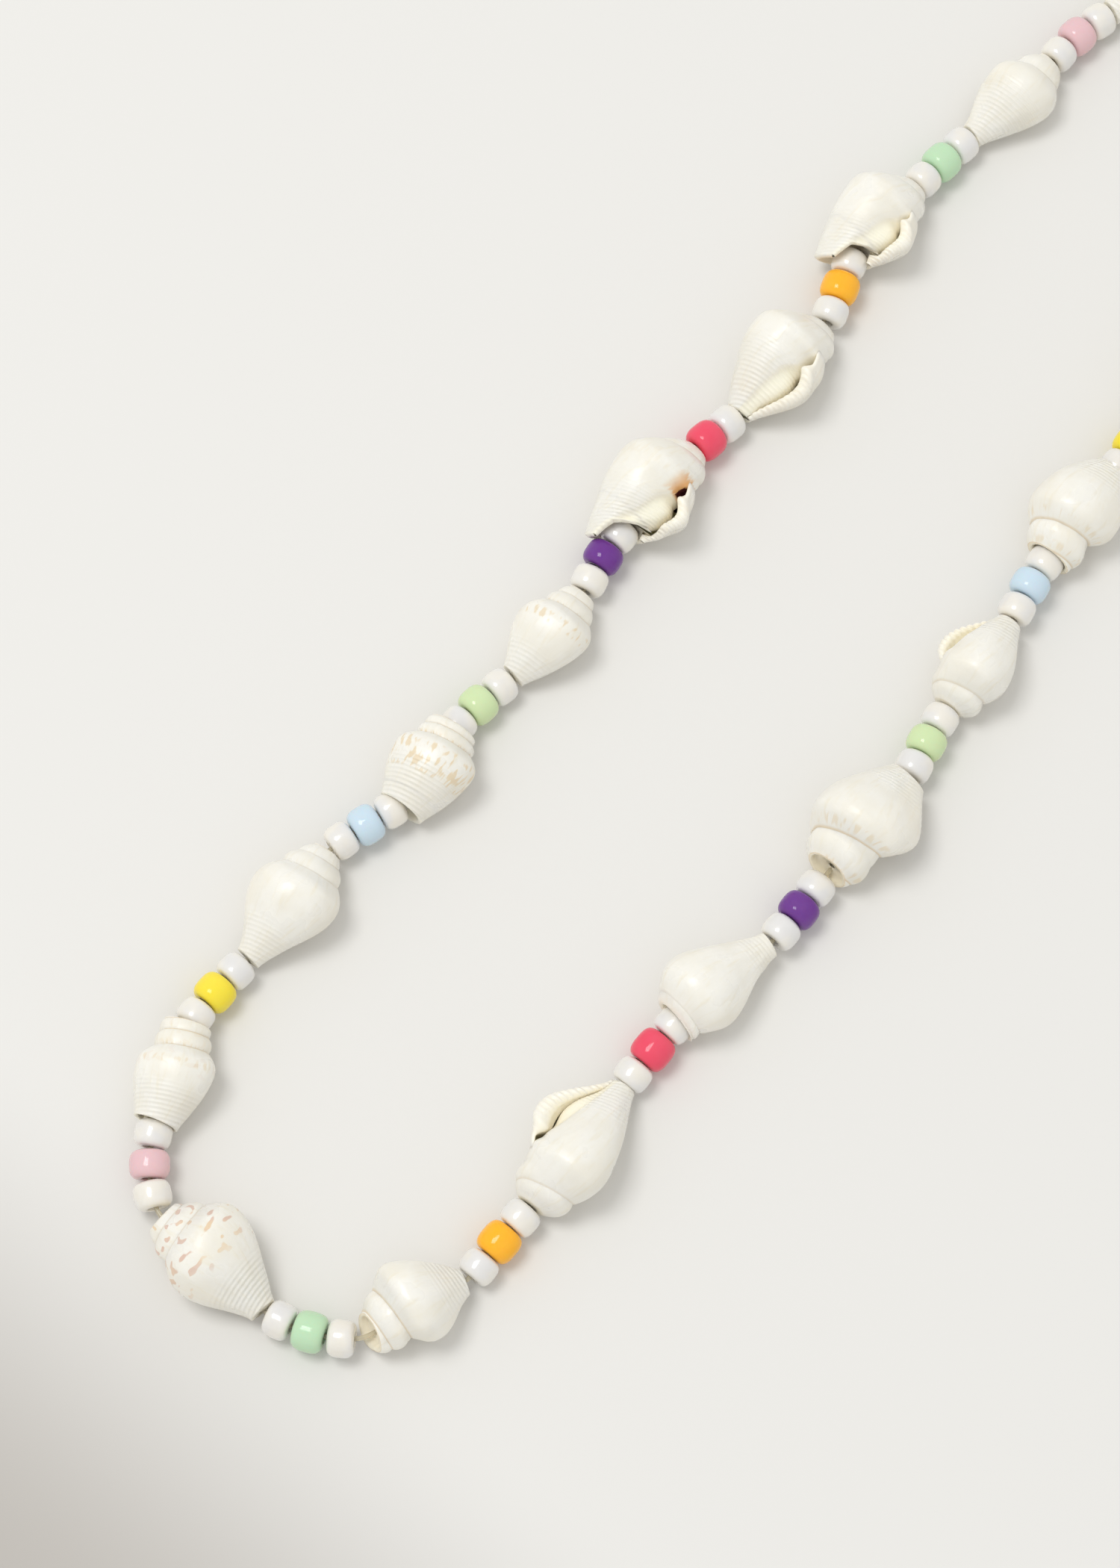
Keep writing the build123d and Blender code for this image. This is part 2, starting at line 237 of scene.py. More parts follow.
# Shell walls and openings, in millimetres, and the tip's share of the width
SHELL_WALL = 0.5
TIP_OPENING_DIAMETER = 1.8
SPIRE_OPENING_DIAMETER = 2.0
TIP_WIDTH_SHARE = 0.30

# Shells in the order they are strung, each spire first. Rows of this table and the ones
# after it name only what differs from the usual. heading: degrees in plan from +X.
# length, width: millimetres. spire: share of the length. whorls: spire whorls left.
# tip_nest, spire_nest: how much of the next bead sits inside that end. slant: how much
# longer the inner side of the tip is. belly: above 1 moves the widest place to the spire.
Shell = namedtuple("Shell", "heading length width spire whorls tip_nest spire_nest "
                            "slant belly", defaults=(0.0, 0.0, 0.35, 1.0))
SHELLS = [
    Shell(-98, 14.6, 8.6, 0.24, 2),
    Shell(-95, 12.3, 7.9, 0.2, 1, belly=1.1),
    Shell(-91, 13.7, 9.4, 0.18, 1, tip_nest=3.9, spire_nest=0.3, slant=3.2),
    Shell(-92, 13.5, 9.7, 0.18, 1),
    Shell(-89, 15.0, 9.8, 0.19, 1, tip_nest=4.0, spire_nest=0.2, slant=3.4),
    Shell(-88, 11.5, 8.1, 0.26, 2),
    Shell(-80, 10.3, 9.0, 0.24, 2, tip_nest=1.4, spire_nest=1.0),
    Shell(-84, 13.8, 9.4, 0.24, 2, belly=1.05),
    Shell(-65, 10.7, 8.1, 0.28, 2, tip_nest=0.6, spire_nest=0.6),
    Shell(-1, 14.2, 10.0, 0.24, 2),
    Shell(71, 11.5, 9.0, 0.3, 2),
    Shell(94, 15.4, 9.4, 0.18, 1, belly=1.1),
    Shell(81, 12.9, 8.8, 0.06, 1, tip_nest=0.3, spire_nest=1.2, belly=1.2),
    Shell(91, 13.7, 10.2, 0.24, 1, tip_nest=0.4, belly=1.2),
    Shell(95, 11.7, 8.7, 0.2, 1, tip_nest=0.3, belly=1.1),
    Shell(94, 11.9, 9.4, 0.22, 1, tip_nest=0.6, spire_nest=0.8, belly=0.9),
    Shell(92, 11.6, 8.8, 0.24, 2),
    Shell(91, 11.5, 8.8, 0.24, 2),
    Shell(114, 11.6, 8.6, 0.24, 2),
]

# How each shell differs in what shows. turn: degrees from 0 with the aperture up. slot:
# the aperture's width as a share of the usual. tip_open: degrees that it takes at the tip.
# aperture: how far up the body it reaches, as a share. lip: the lip's thickness in mm.
# teeth: height in mm of the ridges on it. dome: above 1 for a rounder spire. cut: how much
# lower the spire is ground on its upper side, in mm. lumps: unevenness in mm. twist:
# degrees that the aperture leans towards the lip on its way up. flare: how far the lip
# spreads, in mm. waist: above 1 for a slimmer tip half.
Look = namedtuple("Look", "turn slot tip_open aperture lip teeth dome cut lumps twist flare "
                          "waist",
                  defaults=(180, 1.0, 70, 0.9, 0.8, 0.0, 1.3, 0.0, 0.10, 0, 0.0, 1.2))
LOOKS = [
    Look(),
    Look(turn=205, dome=1.4, waist=1.3),
    Look(turn=24, slot=1.15, tip_open=104, aperture=0.84, lip=1.8, teeth=0.08, dome=1.4,
         lumps=0.08, twist=22, flare=0.8, waist=1.1),
    Look(turn=27, slot=1.2, tip_open=78, aperture=0.76, lip=1.8, teeth=0.1, dome=1.5, twist=16,
         flare=0.8, waist=1.1),
    Look(turn=26, slot=1.15, tip_open=140, aperture=0.8, lip=1.6, teeth=0.08, dome=1.5,
         lumps=0.08, twist=30, flare=1.1, waist=1.1),
    Look(turn=176, lumps=0.08),
    Look(lumps=0.08),
    Look(turn=182, waist=1.45),
    Look(turn=178, lumps=0.08, waist=1.35),
    Look(turn=184, cut=0.6, waist=1.35),
    Look(turn=172, dome=1.8, cut=1.2, lumps=0.14, waist=1.25),
    Look(turn=44, slot=0.85, tip_open=50, aperture=0.84, lip=2.2, teeth=0.14, dome=3.2, twist=22,
         flare=0.9),
    Look(turn=178, dome=0.8, waist=1.4),
    Look(turn=214, lip=0.9, teeth=0.14, dome=3.0, cut=0.9, lumps=0.12, flare=0.8, waist=0.9),
    Look(turn=80, slot=0.5, tip_open=34, aperture=1.0, lip=1.3, teeth=0.18, dome=3.0, twist=16,
         flare=0.4, waist=1.1),
    Look(dome=2.6),
    Look(),
    Look(),
    Look(),
]

# Bead groups: a white pearl, a coloured bead and a white pearl, one group before each
# shell and one after the last. length: the coloured bead's. heading: degrees in plan.
# bend: degrees between each two beads. last_pearl: false where the coloured bead sits
# straight against the shell.
Group = namedtuple("Group", "colour length heading bend last_pearl", defaults=(True,))
GROUPS = [
    Group("yellow", 2.9, -135, 18),
    Group("pink", 2.9, -96, 8),
    Group("mint", 3.0, -93, 2),
    Group("orange", 3.0, -70, 0),
    Group("red", 3.1, -96, 0, last_pearl=False),
    Group("purple", 2.7, -81, 6),
    Group("light_green", 2.9, -94, 4),
    Group("light_blue", 2.9, -106, 2),
    Group("yellow", 3.0, -88, 4),
    Group("pink", 2.8, -48, 12),
    Group("mint", 3.1, 24, 10),
    Group("orange", 3.3, 91, -2),
    Group("red", 3.4, 91, -2),
    Group("purple", 2.8, 93, 2),
    Group("light_green", 2.8, 102, -2),
    Group("light_blue", 2.8, 100, -4),
    Group("yellow", 2.9, 96, 0),
    Group("pink", 2.9, 92, 0),
    Group("mint", 2.9, 96, 4),
    Group("orange", 2.9, 150, 18),
]

Piece = namedtuple("Piece", "kind index length heading start_height end_height")


def end_radii(row):
    """Outer radii of a shell's tip and of its ground spire end."""
    nested = PEARL_DIAMETER / 2 + NEST_CLEARANCE + SHELL_WALL
    tip = max(TIP_WIDTH_SHARE * row.width / 2, TIP_OPENING_DIAMETER / 2 + SHELL_WALL)
    spire = SPIRE_OPENING_DIAMETER / 2 + SHELL_WALL
    return max(tip, nested) if row.tip_nest else tip, \
        max(spire, nested) if row.spire_nest else spire


def shell_heights(row):
    """Heights of the thread above the table at a shell's spire end and tip end."""
    tip, top = end_radii(row)
    lowest = BEAD_DIAMETER / 2 + TABLE_CLEARANCE
    return max(SPIRE_THREAD_HEIGHT, top + TABLE_CLEARANCE), max(lowest, tip + TABLE_CLEARANCE)


def string_pieces():
    """Every piece on the string in order, from the clasp round to the clasp again."""
    clasp_height = CLASP_DIAMETER / 2 + TABLE_CLEARANCE
    pieces = [Piece("clasp", 1, CLASP_LENGTH, CLASP_HEADING, clasp_height, clasp_height)]
    height = clasp_height
    for number, group in enumerate(GROUPS, 1):
        shell = SHELLS[number - 1] if number <= len(SHELLS) else None
        spire_height, tip_height = shell_heights(shell) if shell else (clasp_height, None)
        beads = [("pearl", PEARL_LENGTH, -1), ("bead", group.length, 0)]
        if group.last_pearl:
            beads.append(("pearl", PEARL_LENGTH, 1))
        whole = sum(length for _, length, _ in beads)
        start = height
        for kind, length, side in beads:
            end = start + (spire_height - height) * length / whole
            heading = group.heading + side * group.bend
            pieces.append(Piece(kind, number, length, heading, start, end))
            start = end
        if shell:
            chord = shell.length - shell.tip_nest - shell.spire_nest
            pieces.append(Piece("shell", number, chord, shell.heading,
                                spire_height, tip_height))
            height = tip_height
    return pieces


def string_points(pieces):
    """The corner points of the thread, its small closing error spread evenly along it, and
    the gap at each corner."""
    gaps = []
    for k, piece in enumerate(pieces):
        turn = abs((piece.heading - pieces[k - 1].heading + 180) % 360 - 180)
        turn = math.radians(min(turn, WIDEST_BEAD_TURN))
        gaps.append(PIECE_GAP + TURN_GAP_REACH * math.tan(turn))
    gaps.append(gaps[0])
    plan = [Vector((0, 0, 0))]
    along = [0.0]
    for k, piece in enumerate(pieces):
        rise = piece.end_height - piece.start_height
        run = math.sqrt(piece.length ** 2 - rise ** 2) + (gaps[k] + gaps[k + 1]) / 2
        way = math.radians(piece.heading)
        plan.append(plan[-1] + Vector((math.cos(way), math.sin(way), 0)) * run)
        along.append(along[-1] + run)
    heights = [piece.start_height for piece in pieces] + [pieces[-1].end_height]
    points = []
    for point, distance, height in zip(plan, along, heights):
        moved = point - plan[-1] * (distance / along[-1])
        points.append(Vector((moved.x, moved.y, height)))
    return points, gaps


def piece_ends(points, gaps, pieces):
    """Start and end point of each piece on the thread, centred between its gaps."""
    ends = []
    for k, piece in enumerate(pieces):
        way = (points[k + 1] - points[k]).normalized()
        spare = (points[k + 1] - points[k]).length - piece.length
        start = points[k] + way * (spare * gaps[k] / (gaps[k] + gaps[k + 1]))
        ends.append((start, start + way * piece.length))
    return ends


def string_layout():
    """The pieces, their ends and the thread's corners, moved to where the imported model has
    its clasp."""
    pieces = string_pieces()
    points, gaps = string_points(pieces)
    ends = piece_ends(points, gaps, pieces)
    low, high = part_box("clasp")
    middle = (Vector(low) + Vector(high)) / 2 / MM
    move = middle - (ends[0][0] + ends[0][1]) / 2
    ends = [(start + move, end + move) for start, end in ends]
    return pieces, ends, [point + move for point in points]


pieces, ends, corners = string_layout()


def along_axes(start, end):
    """Rows are a piece's own X, Y and Z axes, its Z along its stretch of thread."""
    z_axis = (end - start).normalized()
    up = Vector((1, 0, 0)) if abs(z_axis.z) > 0.99 else Vector((0, 0, 1))
    x_axis = (up - z_axis * z_axis.dot(up)).normalized()
    return np.array([x_axis, z_axis.cross(x_axis), z_axis])


def grid_faces(rows, columns, first, flip):
    """Quads of a grid of points, as an array of vertex numbers."""
    start = (np.arange(rows - 1)[:, None] * columns + np.arange(columns - 1)) + first
    quads = np.stack([start, start + 1, start + columns + 1, start + columns], axis=-1)
    quads = quads.reshape(-1, 4)
    return quads[:, ::-1] if flip else quads


# A patch of surface. points: rows x columns x 3 in millimetres. maps: UV maps by name,
# each face row x face column x 4 corners x 2. cream: how much of the aperture's cream it
# shows. flip: true where the grid's order would face it inwards.
Patch = namedtuple("Patch", "points maps cream flip")
SHELL_WELD = 0.004
BEAD_WELD = 0.001


def patch_maps(patch_values):
    """Corner values of a grid: each face takes its four points' values in turn."""
    return np.stack([patch_values[:-1, :-1], patch_values[:-1, 1:],
                     patch_values[1:, 1:], patch_values[1:, :-1]], axis=2)


def mesh_object(name, patches, weld):
    """One smooth mesh object from patches, welded where their edges meet."""
    vertices, quads, cream = [], [], []
    maps = {}
    count = 0
    for patch in patches:
        rows, columns = patch.points.shape[:2]
        vertices.append(patch.points.reshape(-1, 3) * MM)
        quads.append(grid_faces(rows, columns, count, patch.flip))
        cream.append(np.broadcast_to(patch.cream, (rows, columns)).reshape(-1))
        for key, values in patch.maps.items():
            values = values.reshape(-1, 4, 2)
            maps.setdefault(key, []).append(values[:, ::-1] if patch.flip else values)
        count += rows * columns
    vertices = np.concatenate(vertices)
    quads = np.concatenate(quads)
    mesh = bpy.data.meshes.new(name)
    mesh.vertices.add(len(vertices))
    mesh.vertices.foreach_set("co", vertices.astype(np.float32).ravel())
    mesh.loops.add(quads.size)
    mesh.loops.foreach_set("vertex_index", quads.astype(np.int32).ravel())
    mesh.polygons.add(len(quads))
    mesh.polygons.foreach_set("loop_start", np.arange(0, quads.size, 4, dtype=np.int32))
    mesh.update(calc_edges=True)
    for key, values in maps.items():
        layer = mesh.uv_layers.new(name=key)
        layer.uv.foreach_set("vector", np.concatenate(values).astype(np.float32).ravel())
    layer = mesh.attributes.new("cream", "FLOAT", "POINT")
    layer.data.foreach_set("value", np.concatenate(cream).astype(np.float32))
    work = bmesh.new()
    work.from_mesh(mesh)
    bmesh.ops.remove_doubles(work, verts=work.verts, dist=weld * MM)
    work.to_mesh(mesh)
    work.free()
    mesh.validate()
    mesh.shade_smooth()
    return put_in_scene(name, mesh)


# Beads and thread
BEAD_COLUMNS = 44
CORNER_STEPS = 9
BEAD_SQUARENESS = 2.9
END_FULLNESS = 0.045
SMALLEST_PEARL = 0.965
PEARL_SEED = 4
BORE_STEPS = 3
THREAD_SIDES = 14
ARC_STEPS = 7


def arc_points(middle, radius, start, stop, steps):
    """Points of an arc in a profile's plane, degrees from the first axis."""
    angles = np.radians(np.linspace(start, stop, steps))
    return [(middle[0] + radius * math.cos(a), middle[1] + radius * math.sin(a))
            for a in angles]


def bead_profile(diameter, length):
    """Half the outline of a fire-polished bead as (radius, height): a rounded square that
    turns into the bore at both ends."""
    bore = BORE_DIAMETER / 2
    inner = bore + BORE_ROUNDING
    half = length / 2 + END_FULLNESS
    swing = np.radians(np.linspace(-90, 90, 2 * CORNER_STEPS + 5))
    power = 2 / BEAD_SQUARENESS
    radius = inner + (diameter / 2 - inner) * np.cos(swing).clip(0) ** power
    height = half * np.sign(np.sin(swing)) * np.abs(np.sin(swing)) ** power
    low = [(bore, 0.0)]
    low += arc_points((inner, -half + BORE_ROUNDING), BORE_ROUNDING, 180, 270, BORE_STEPS)
    high = [(r, -z) for r, z in reversed(low)]
    return np.array(low + list(zip(radius, height)) + high)


def clasp_profile():
    """Half the outline of the barrel clasp as (radius, height), a blind bore in each end."""
    half = CLASP_LENGTH / 2
    bore = BORE_DIAMETER / 2
    low = [(0.0, CLASP_BORE_DEPTH - half), (bore, CLASP_BORE_DEPTH - half)]
    low += arc_points((bore + BORE_ROUNDING, BORE_ROUNDING - half), BORE_ROUNDING, 180, 270,
                      1 + BORE_STEPS)
    low += arc_points((CLASP_DIAMETER / 2 - CLASP_ROUNDING, CLASP_ROUNDING - half),
                      CLASP_ROUNDING, 270, 360, CORNER_STEPS)
    return np.array(low + [(r, -z) for r, z in reversed(low)])


def turned_patch(profile, start, end):
    """A profile turned about a stretch of thread."""
    angles = np.linspace(0, 2 * math.pi, BEAD_COLUMNS + 1)
    flat = np.stack([profile[:, :1] * np.cos(angles), profile[:, :1] * np.sin(angles),
                     np.repeat(profile[:, 1:], BEAD_COLUMNS + 1, axis=1)], axis=-1)
    return Patch(flat @ along_axes(start, end) + np.array((start + end) / 2), {}, 0.0, False)


# Whorls. AGE_ANCHOR: turns from the lip to the side that the spire's share is given for.
WHORL_RATIO = 0.75
WHORL_GROWTH = 1.4
AGE_ANCHOR = 0.39
SLOT_MIDDLE_ANGLE = 22.0

# Shares of a shell's own measures
SPIRE_BASE_SHARE = 0.70
FLATNESS = 0.90
LEAN_SHARE = 0.184
SPIRE_FILL = 0.60
LEAST_FILL = 0.05
WIDEST_PLACE = 0.76
SUTURE_SHARE = 0.96
WHORL_SWELL = 0.115
TIP_ROLL = 0.45
ROLL_DEPTHS = (0.28, 0.13)
FLARE_UNDER_LIP = 0.7
LIP_SWELL = 0.22
TOOTH_SWELL = 0.3
HOLLOW_SHARE = 0.6
TUBE_SHARES = (0.3, 0.6, 0.97)
WELL_SHARES = (0.55, 0.9)
DOME_SHARES = (1.0, 0.92, 0.78, 0.6)
FLOOR_SHARE = 0.85
INSIDE_OVERLAP = 0.97
COLUMN_CROWDING = 0.45
ROW_CROWDING = 0.5

# Reaches round the shell, in turns back from the lip
LIP_REACH = 0.045
FLARE_REACH = 0.20
THICK_REACH = 0.20
INSIDE_REACH = 0.25
ROLL_TURNS = 0.30
EDGE_TURNS = (0.955, 1.05)
UNDER_TURNS = (1.0, 1.09)
WALL_CREAM_TURNS = (0.965, 1.0)

# Sizes of the lip and of the ends, in millimetres
SHELF_RISE = 0.42
LIP_TOOTH_SPACING = 0.62
WIDEST_BULGE = 0.9
LIP_END_WALL = 0.45
RIM_WALL = 0.38
INSIDE_WALL = 0.28
INSIDE_END_GAP = 0.35
THINNEST_EDGE = 0.2
BESIDE_BEAD = 0.2
SEAM_FADE = 1.6
SHALLOW_NEST = 0.35
RIM_CLEARANCE = 0.12
RIM_CREST = 0.04
RIM_DROP = 0.06
HOLLOW_DEPTH = 0.16
HOLLOW_CUT = 0.8
END_DOME = 0.13
HUB_RADIUS = 0.42
BULKHEAD_DEPTH = 0.10
BULKHEAD_RISE = 0.12
BULKHEAD_INSET = 0.06

# How much of the aperture's cream shows outside it
WALL_CREAM = 0.85
LIP_CREAM = 0.9
RIM_CREAM = 0.8

# Stations of the body whorl. place: share of its height. fill: share of the way from the
# tip's radius to the full one. opening: degrees that the aperture takes out of the round.
BODY_PLACES = (0.0, 0.11, 0.27, 0.44, 0.61, 0.76, 0.90, 1.00)
BODY_FILLS = (0.0, 0.24, 0.54, 0.80, 0.96, 1.0, 0.97, 0.90)
OPENING_PLACES = (0.0, 0.11, 0.27, 0.44, 0.61, 0.78, 0.95)
OPENINGS = (70.0, 56.0, 44.0, 36.0, 30.0, 22.0, 0.0)

# Rows and columns of the patches
TIP_ROWS = 62
WHORL_ROWS = 20
WALL_COLUMNS = 96
LIP_COLUMNS = 9
INSIDE_COLUMNS = 9
ROLL_COLUMNS = 16
INNER_STEPS = 37
BULKHEAD_ROWS = 7


def smooth_curve(x, places, values):
    """A smooth curve through stations, with Catmull-Rom slopes."""
    places, values = np.array(places), np.array(values)
    slopes = np.gradient(values, places)
    k = np.clip(np.searchsorted(places, x) - 1, 0, len(places) - 2)
    width = places[k + 1] - places[k]
    t = np.clip((x - places[k]) / width, 0, 1)
    return ((2 * t ** 3 - 3 * t ** 2 + 1) * values[k] + (t ** 3 - 2 * t ** 2 + t) * width * slopes[k]
            + (3 * t ** 2 - 2 * t ** 3) * values[k + 1] + (t ** 3 - t ** 2) * width * slopes[k + 1])


def smooth_step(x, low, high):
    """0 below low, 1 above high, smooth between."""
    t = np.clip((x - low) / (high - low), 0, 1)
    return t * t * (3 - 2 * t)


def blended(a, b, share):
    return a + (b - a) * share


# The sizes that a shell's surface is worked out from. summit and reach set the suture's
# height at each age, which is counted in turns back from the lip.
Form = namedtuple("Form", "row look full tip top body summit reach")


def nested_radius(nest):
    """The radius of the pearl where it meets the rim that it sits in."""
    depth = min(nest, PEARL_ROUNDING)
    reach = math.sqrt(PEARL_ROUNDING ** 2 - (PEARL_ROUNDING - depth) ** 2)
    return PEARL_DIAMETER / 2 - PEARL_ROUNDING + reach


def snug_radius(nest, plain):
    """The outer radius of a shell's end, wide enough for the pearl that sits in it."""
    if not nest:
        return plain
    return nested_radius(nest) + min(NEST_CLEARANCE, 0.10 + 0.08 * nest) + RIM_WALL


def shell_form(row, look):
    tip = max(TIP_WIDTH_SHARE * row.width / 2, TIP_OPENING_DIAMETER / 2 + SHELL_WALL)
    tip = snug_radius(row.tip_nest, tip)
    top = snug_radius(row.spire_nest, SPIRE_OPENING_DIAMETER / 2 + SHELL_WALL)
    body = row.length * (1 - row.spire)
    reach = (row.length - body) / (WHORL_RATIO ** AGE_ANCHOR * (1 - WHORL_RATIO ** row.whorls))
    summit = body + reach * WHORL_RATIO ** AGE_ANCHOR
    return Form(row, look, row.width / 2, tip, top, body, summit, reach)


def suture_height(form, age):
    return form.summit - form.reach * WHORL_RATIO ** age


def spire_cone(form, height):
    """The spire's radius before its whorls' swelling."""
    base = max(SPIRE_BASE_SHARE * form.full, form.top)
    share = (height - form.body) / (form.row.length - form.body)
    share = np.where(share > 0, np.abs(share) ** form.look.dome, share)
    return base + (form.top - base) * share


def spire_end(form, turn):
    """Height of the ground spire's edge, lower on the side that lies uppermost."""
    angle = np.radians(SLOT_MIDDLE_ANGLE + 360 * turn + form.look.turn)
    return form.row.length - form.look.cut * (1 + np.cos(angle)) / 2


def aperture_place(form, height):
    """Height as a share of the aperture's own."""
    return height / (form.look.aperture * suture_height(form, 0.0))


def filling(form, height):
    """Share of the full swelling at a height, which also sets the lean and the lift."""
    on_body = smooth_curve((np.clip(height / form.body, 0, 1)) ** form.row.belly,
                           BODY_PLACES, BODY_FILLS)
    share = np.clip((height - form.body) / (form.row.length - form.body), 0, 1)
    on_spire = SPIRE_FILL * (1 - share)
    near = smooth_step(height, 0.86 * form.body, 1.04 * form.body)
    return blended(on_body, on_spire, near)


def wall_radius(form, turn, height):
    """The outer wall's radius, before its flattening, at turns back from the lip."""
    row = form.row
    fill = filling(form, height)
    growth = 1 + (WHORL_GROWTH - 1) * fill
    scale = 2 / (growth ** -0.14 + growth ** -0.64)
    top_height = suture_height(form, np.minimum(turn, 1.0))
    place = np.clip(height / top_height, 0, 1)
    swelling = smooth_curve(place ** row.belly, BODY_PLACES, BODY_FILLS) ** form.look.waist
    body = scale * growth ** -turn * blended(form.tip, form.full, swelling)
    # the shoulder falls to the suture
    sink = np.clip((place - 0.74) / 0.26, 0, 1)
    sink = 1 - (1 - sink ** 2) ** 0.7
    body = blended(body, SUTURE_SHARE * spire_cone(form, top_height), sink)
    # whorls of the spire
    height = np.minimum(height, form.row.length)
    age = np.log((form.summit - height) / form.reach) / math.log(WHORL_RATIO)
    number = np.maximum(np.ceil(age - turn - 1e-6), 0)
    older = turn + number
    low, high = suture_height(form, older - 1), suture_height(form, older)
    share = np.clip((height - low) / (high - low), 0, 1)
    swell = 1 - (1 - share) ** 3 - share ** 6
    spire = spire_cone(form, height) * (SUTURE_SHARE + WHORL_SWELL * swell)
    on_spire = np.where(number > 0, 1.0, smooth_step(turn, 0.72, 1.0))
    # below the seam's suture there is no spire whorl to turn into
    seam = suture_height(form, 0.0)
    on_spire = on_spire * smooth_step(height, seam - SEAM_FADE, seam)
    on_spire = np.where(number > 0, 1.0, on_spire)
    return blended(body, spire, on_spire)


def wall_angle(form, turn, height):
    """Degrees from the aperture's side, turned towards the lip, and the opening there."""
    look = form.look
    place = np.clip(aperture_place(form, height), 0, 1)
    opening = smooth_curve(place, OPENING_PLACES, OPENINGS) * look.slot
    wider = look.tip_open - OPENINGS[0] * look.slot
    opening = opening + wider * (1 - smooth_step(place, 0.08, 0.45))
    opening = np.where(place > OPENING_PLACES[-1], 0.0, np.maximum(opening, 0.0))
    middle = SLOT_MIDDLE_ANGLE + look.twist * (place - 0.5)
    return middle + opening / 2 + turn * (360 - opening), opening


def tip_slant(form, height):
    """How much further up the lip's side of the shell lies than its inner side, in mm."""
    belly_height = WIDEST_PLACE ** (1 / form.row.belly) * form.body
    return form.row.slant * np.clip(1 - height / belly_height, 0, None)


def rolling(form, height):
    """How fully the inner edge rolls in at a height: less at the tip, and not at all where
    a bead lies in it."""
    place = aperture_place(form, height)
    share = blended(TIP_ROLL, 1.0, smooth_step(place, 0.0, 0.3))
    if form.row.tip_nest > 1:
        nest = form.row.tip_nest
        level = height + 0.8 * tip_slant(form, height)
        share = share * smooth_step(level, nest - 0.05, nest + 0.35)
    return share


def rolled_in(form, turn, height):
    """The share of the radius left as the inner edge rolls into the aperture."""
    place = aperture_place(form, height)
    depth = blended(*ROLL_DEPTHS, smooth_step(place, 0.1, 0.5)) * rolling(form, height)
    depth = depth * (1 - smooth_step(place, 0.80, 0.97))
    return 1 - depth * smooth_step(turn, *EDGE_TURNS)


def raised(form, angle, height):
    """Height along the shell's axis, which the slant lifts on the lip's side."""
    return height + tip_slant(form, height) * (1 + np.sin(np.radians(angle))) / 2


def level_heights(form, turns, flat):
    """The wall's own heights where it passes one level across the shell."""
    height = 0 * turns + flat
    for _ in range(4):
        angle, _ = wall_angle(form, turns, height)
        height = flat - raised(form, angle, height) + height
    return height


def edge_depth(form, angle, radius, height, thin):
    """The wall's thickness at the aperture's edges, in mm: solid down to the bead where
    one lies in the tip."""
    nest = form.row.tip_nest
    if nest < 1:
        return thin
    beside = 1 - smooth_step(raised(form, angle, height), nest - BESIDE_BEAD, nest + BESIDE_BEAD)
    solid = np.maximum(radius - nested_radius(nest) - RIM_CLEARANCE, THINNEST_EDGE)
    return blended(thin, solid, beside)


def shell_points(form, angle, radius, height):
    """Points in the shell's own axes: X out of the aperture's side, Y towards the outer
    lip, Z from tip to spire."""
    fill = filling(form, height)
    z = raised(form, angle, height)
    angle = np.radians(angle)
    x = radius * np.cos(angle) * blended(1.0, FLATNESS, fill)
    y = radius * np.sin(angle) - LEAN_SHARE * form.full * fill
    return np.stack([x, y, z], axis=-1)


def wall_rows(form, turns, first_band, last_band):
    """Heights of the rows between the suture's turns, and each row's band number."""
    heights, bands = [], []
    for band in range(first_band, last_band + 1):
        low = suture_height(form, turns + band - 1) if band >= 0 else 0 * turns
        high = suture_height(form, turns + band)
        count = TIP_ROWS if band < 0 else WHORL_ROWS
        share = np.linspace(0, 1, count + 1)
        if band >= 0:
            share = blended(share, (1 - np.cos(math.pi * share)) / 2, ROW_CROWDING)
        rows = low + (high - low) * share[:, None]
        if band > first_band:
            rows = rows[1:]
        heights.append(np.minimum(rows, spire_end(form, turns)))
        bands += [band] * len(rows)
    return np.concatenate(heights), bands


def grown_patch(form, points, turn, height, cream, flip, bands=None):
    """A patch of shell with UV maps that follow its growth. growth: turns back from the
    lip and mm below the suture. place: mm from the tip and share of the length."""
    turns = patch_maps(np.broadcast_to(turn, points.shape[:2]))
    if bands:
        turns = turns + np.maximum(bands[1:], 0)[:, None, None]
    heights = patch_maps(np.broadcast_to(height, points.shape[:2]))
    below = suture_height(form, turns) - heights
    maps = {"growth": np.stack([turns, below], axis=-1),
            "place": np.stack([heights, heights / form.row.length], axis=-1)}
    return Patch(points, maps, cream, flip)


def lumps(form, turn, height):
    """Slow unevenness of the wall in mm, along the growth and across it, none at the
    ends and at the seam."""
    row = form.row
    seed = row.heading * 0.7 + row.length * 13.0
    age = 2 * math.pi * turn
    waves = (np.sin(3 * age + seed) * np.sin(0.9 * height + seed)
             + 0.7 * np.sin(5 * age + 1.7 * seed + 0.8 * height)
             + 0.5 * np.sin(9 * age - 0.5 * height + 2.3 * seed))
    ends_fade = smooth_step(height, 0.5, 2.0) * (1 - smooth_step(height, row.length - 1.5,
                                                                 row.length - 0.3))
    seam_fade = smooth_step(turn, 0.0, 0.05) * (1 - smooth_step(turn, 0.92, 1.0))
    return form.look.lumps * 0.5 * waves * ends_fade * seam_fade


def lip_flare(form, turn, height):
    """How far the outer lip spreads out from the whorl, and the floor under it rises with
    it, in mm."""
    fade = 1 - smooth_step(aperture_place(form, height), 0.60, 1.05)
    reach = 1 - smooth_step(turn, 0.0, FLARE_REACH)
    under = smooth_step(turn, *UNDER_TURNS)
    spread = form.look.flare * (reach + FLARE_UNDER_LIP * under) + SHELF_RISE * under
    return spread * smooth_step(filling(form, height), 0.0, 0.8) * fade


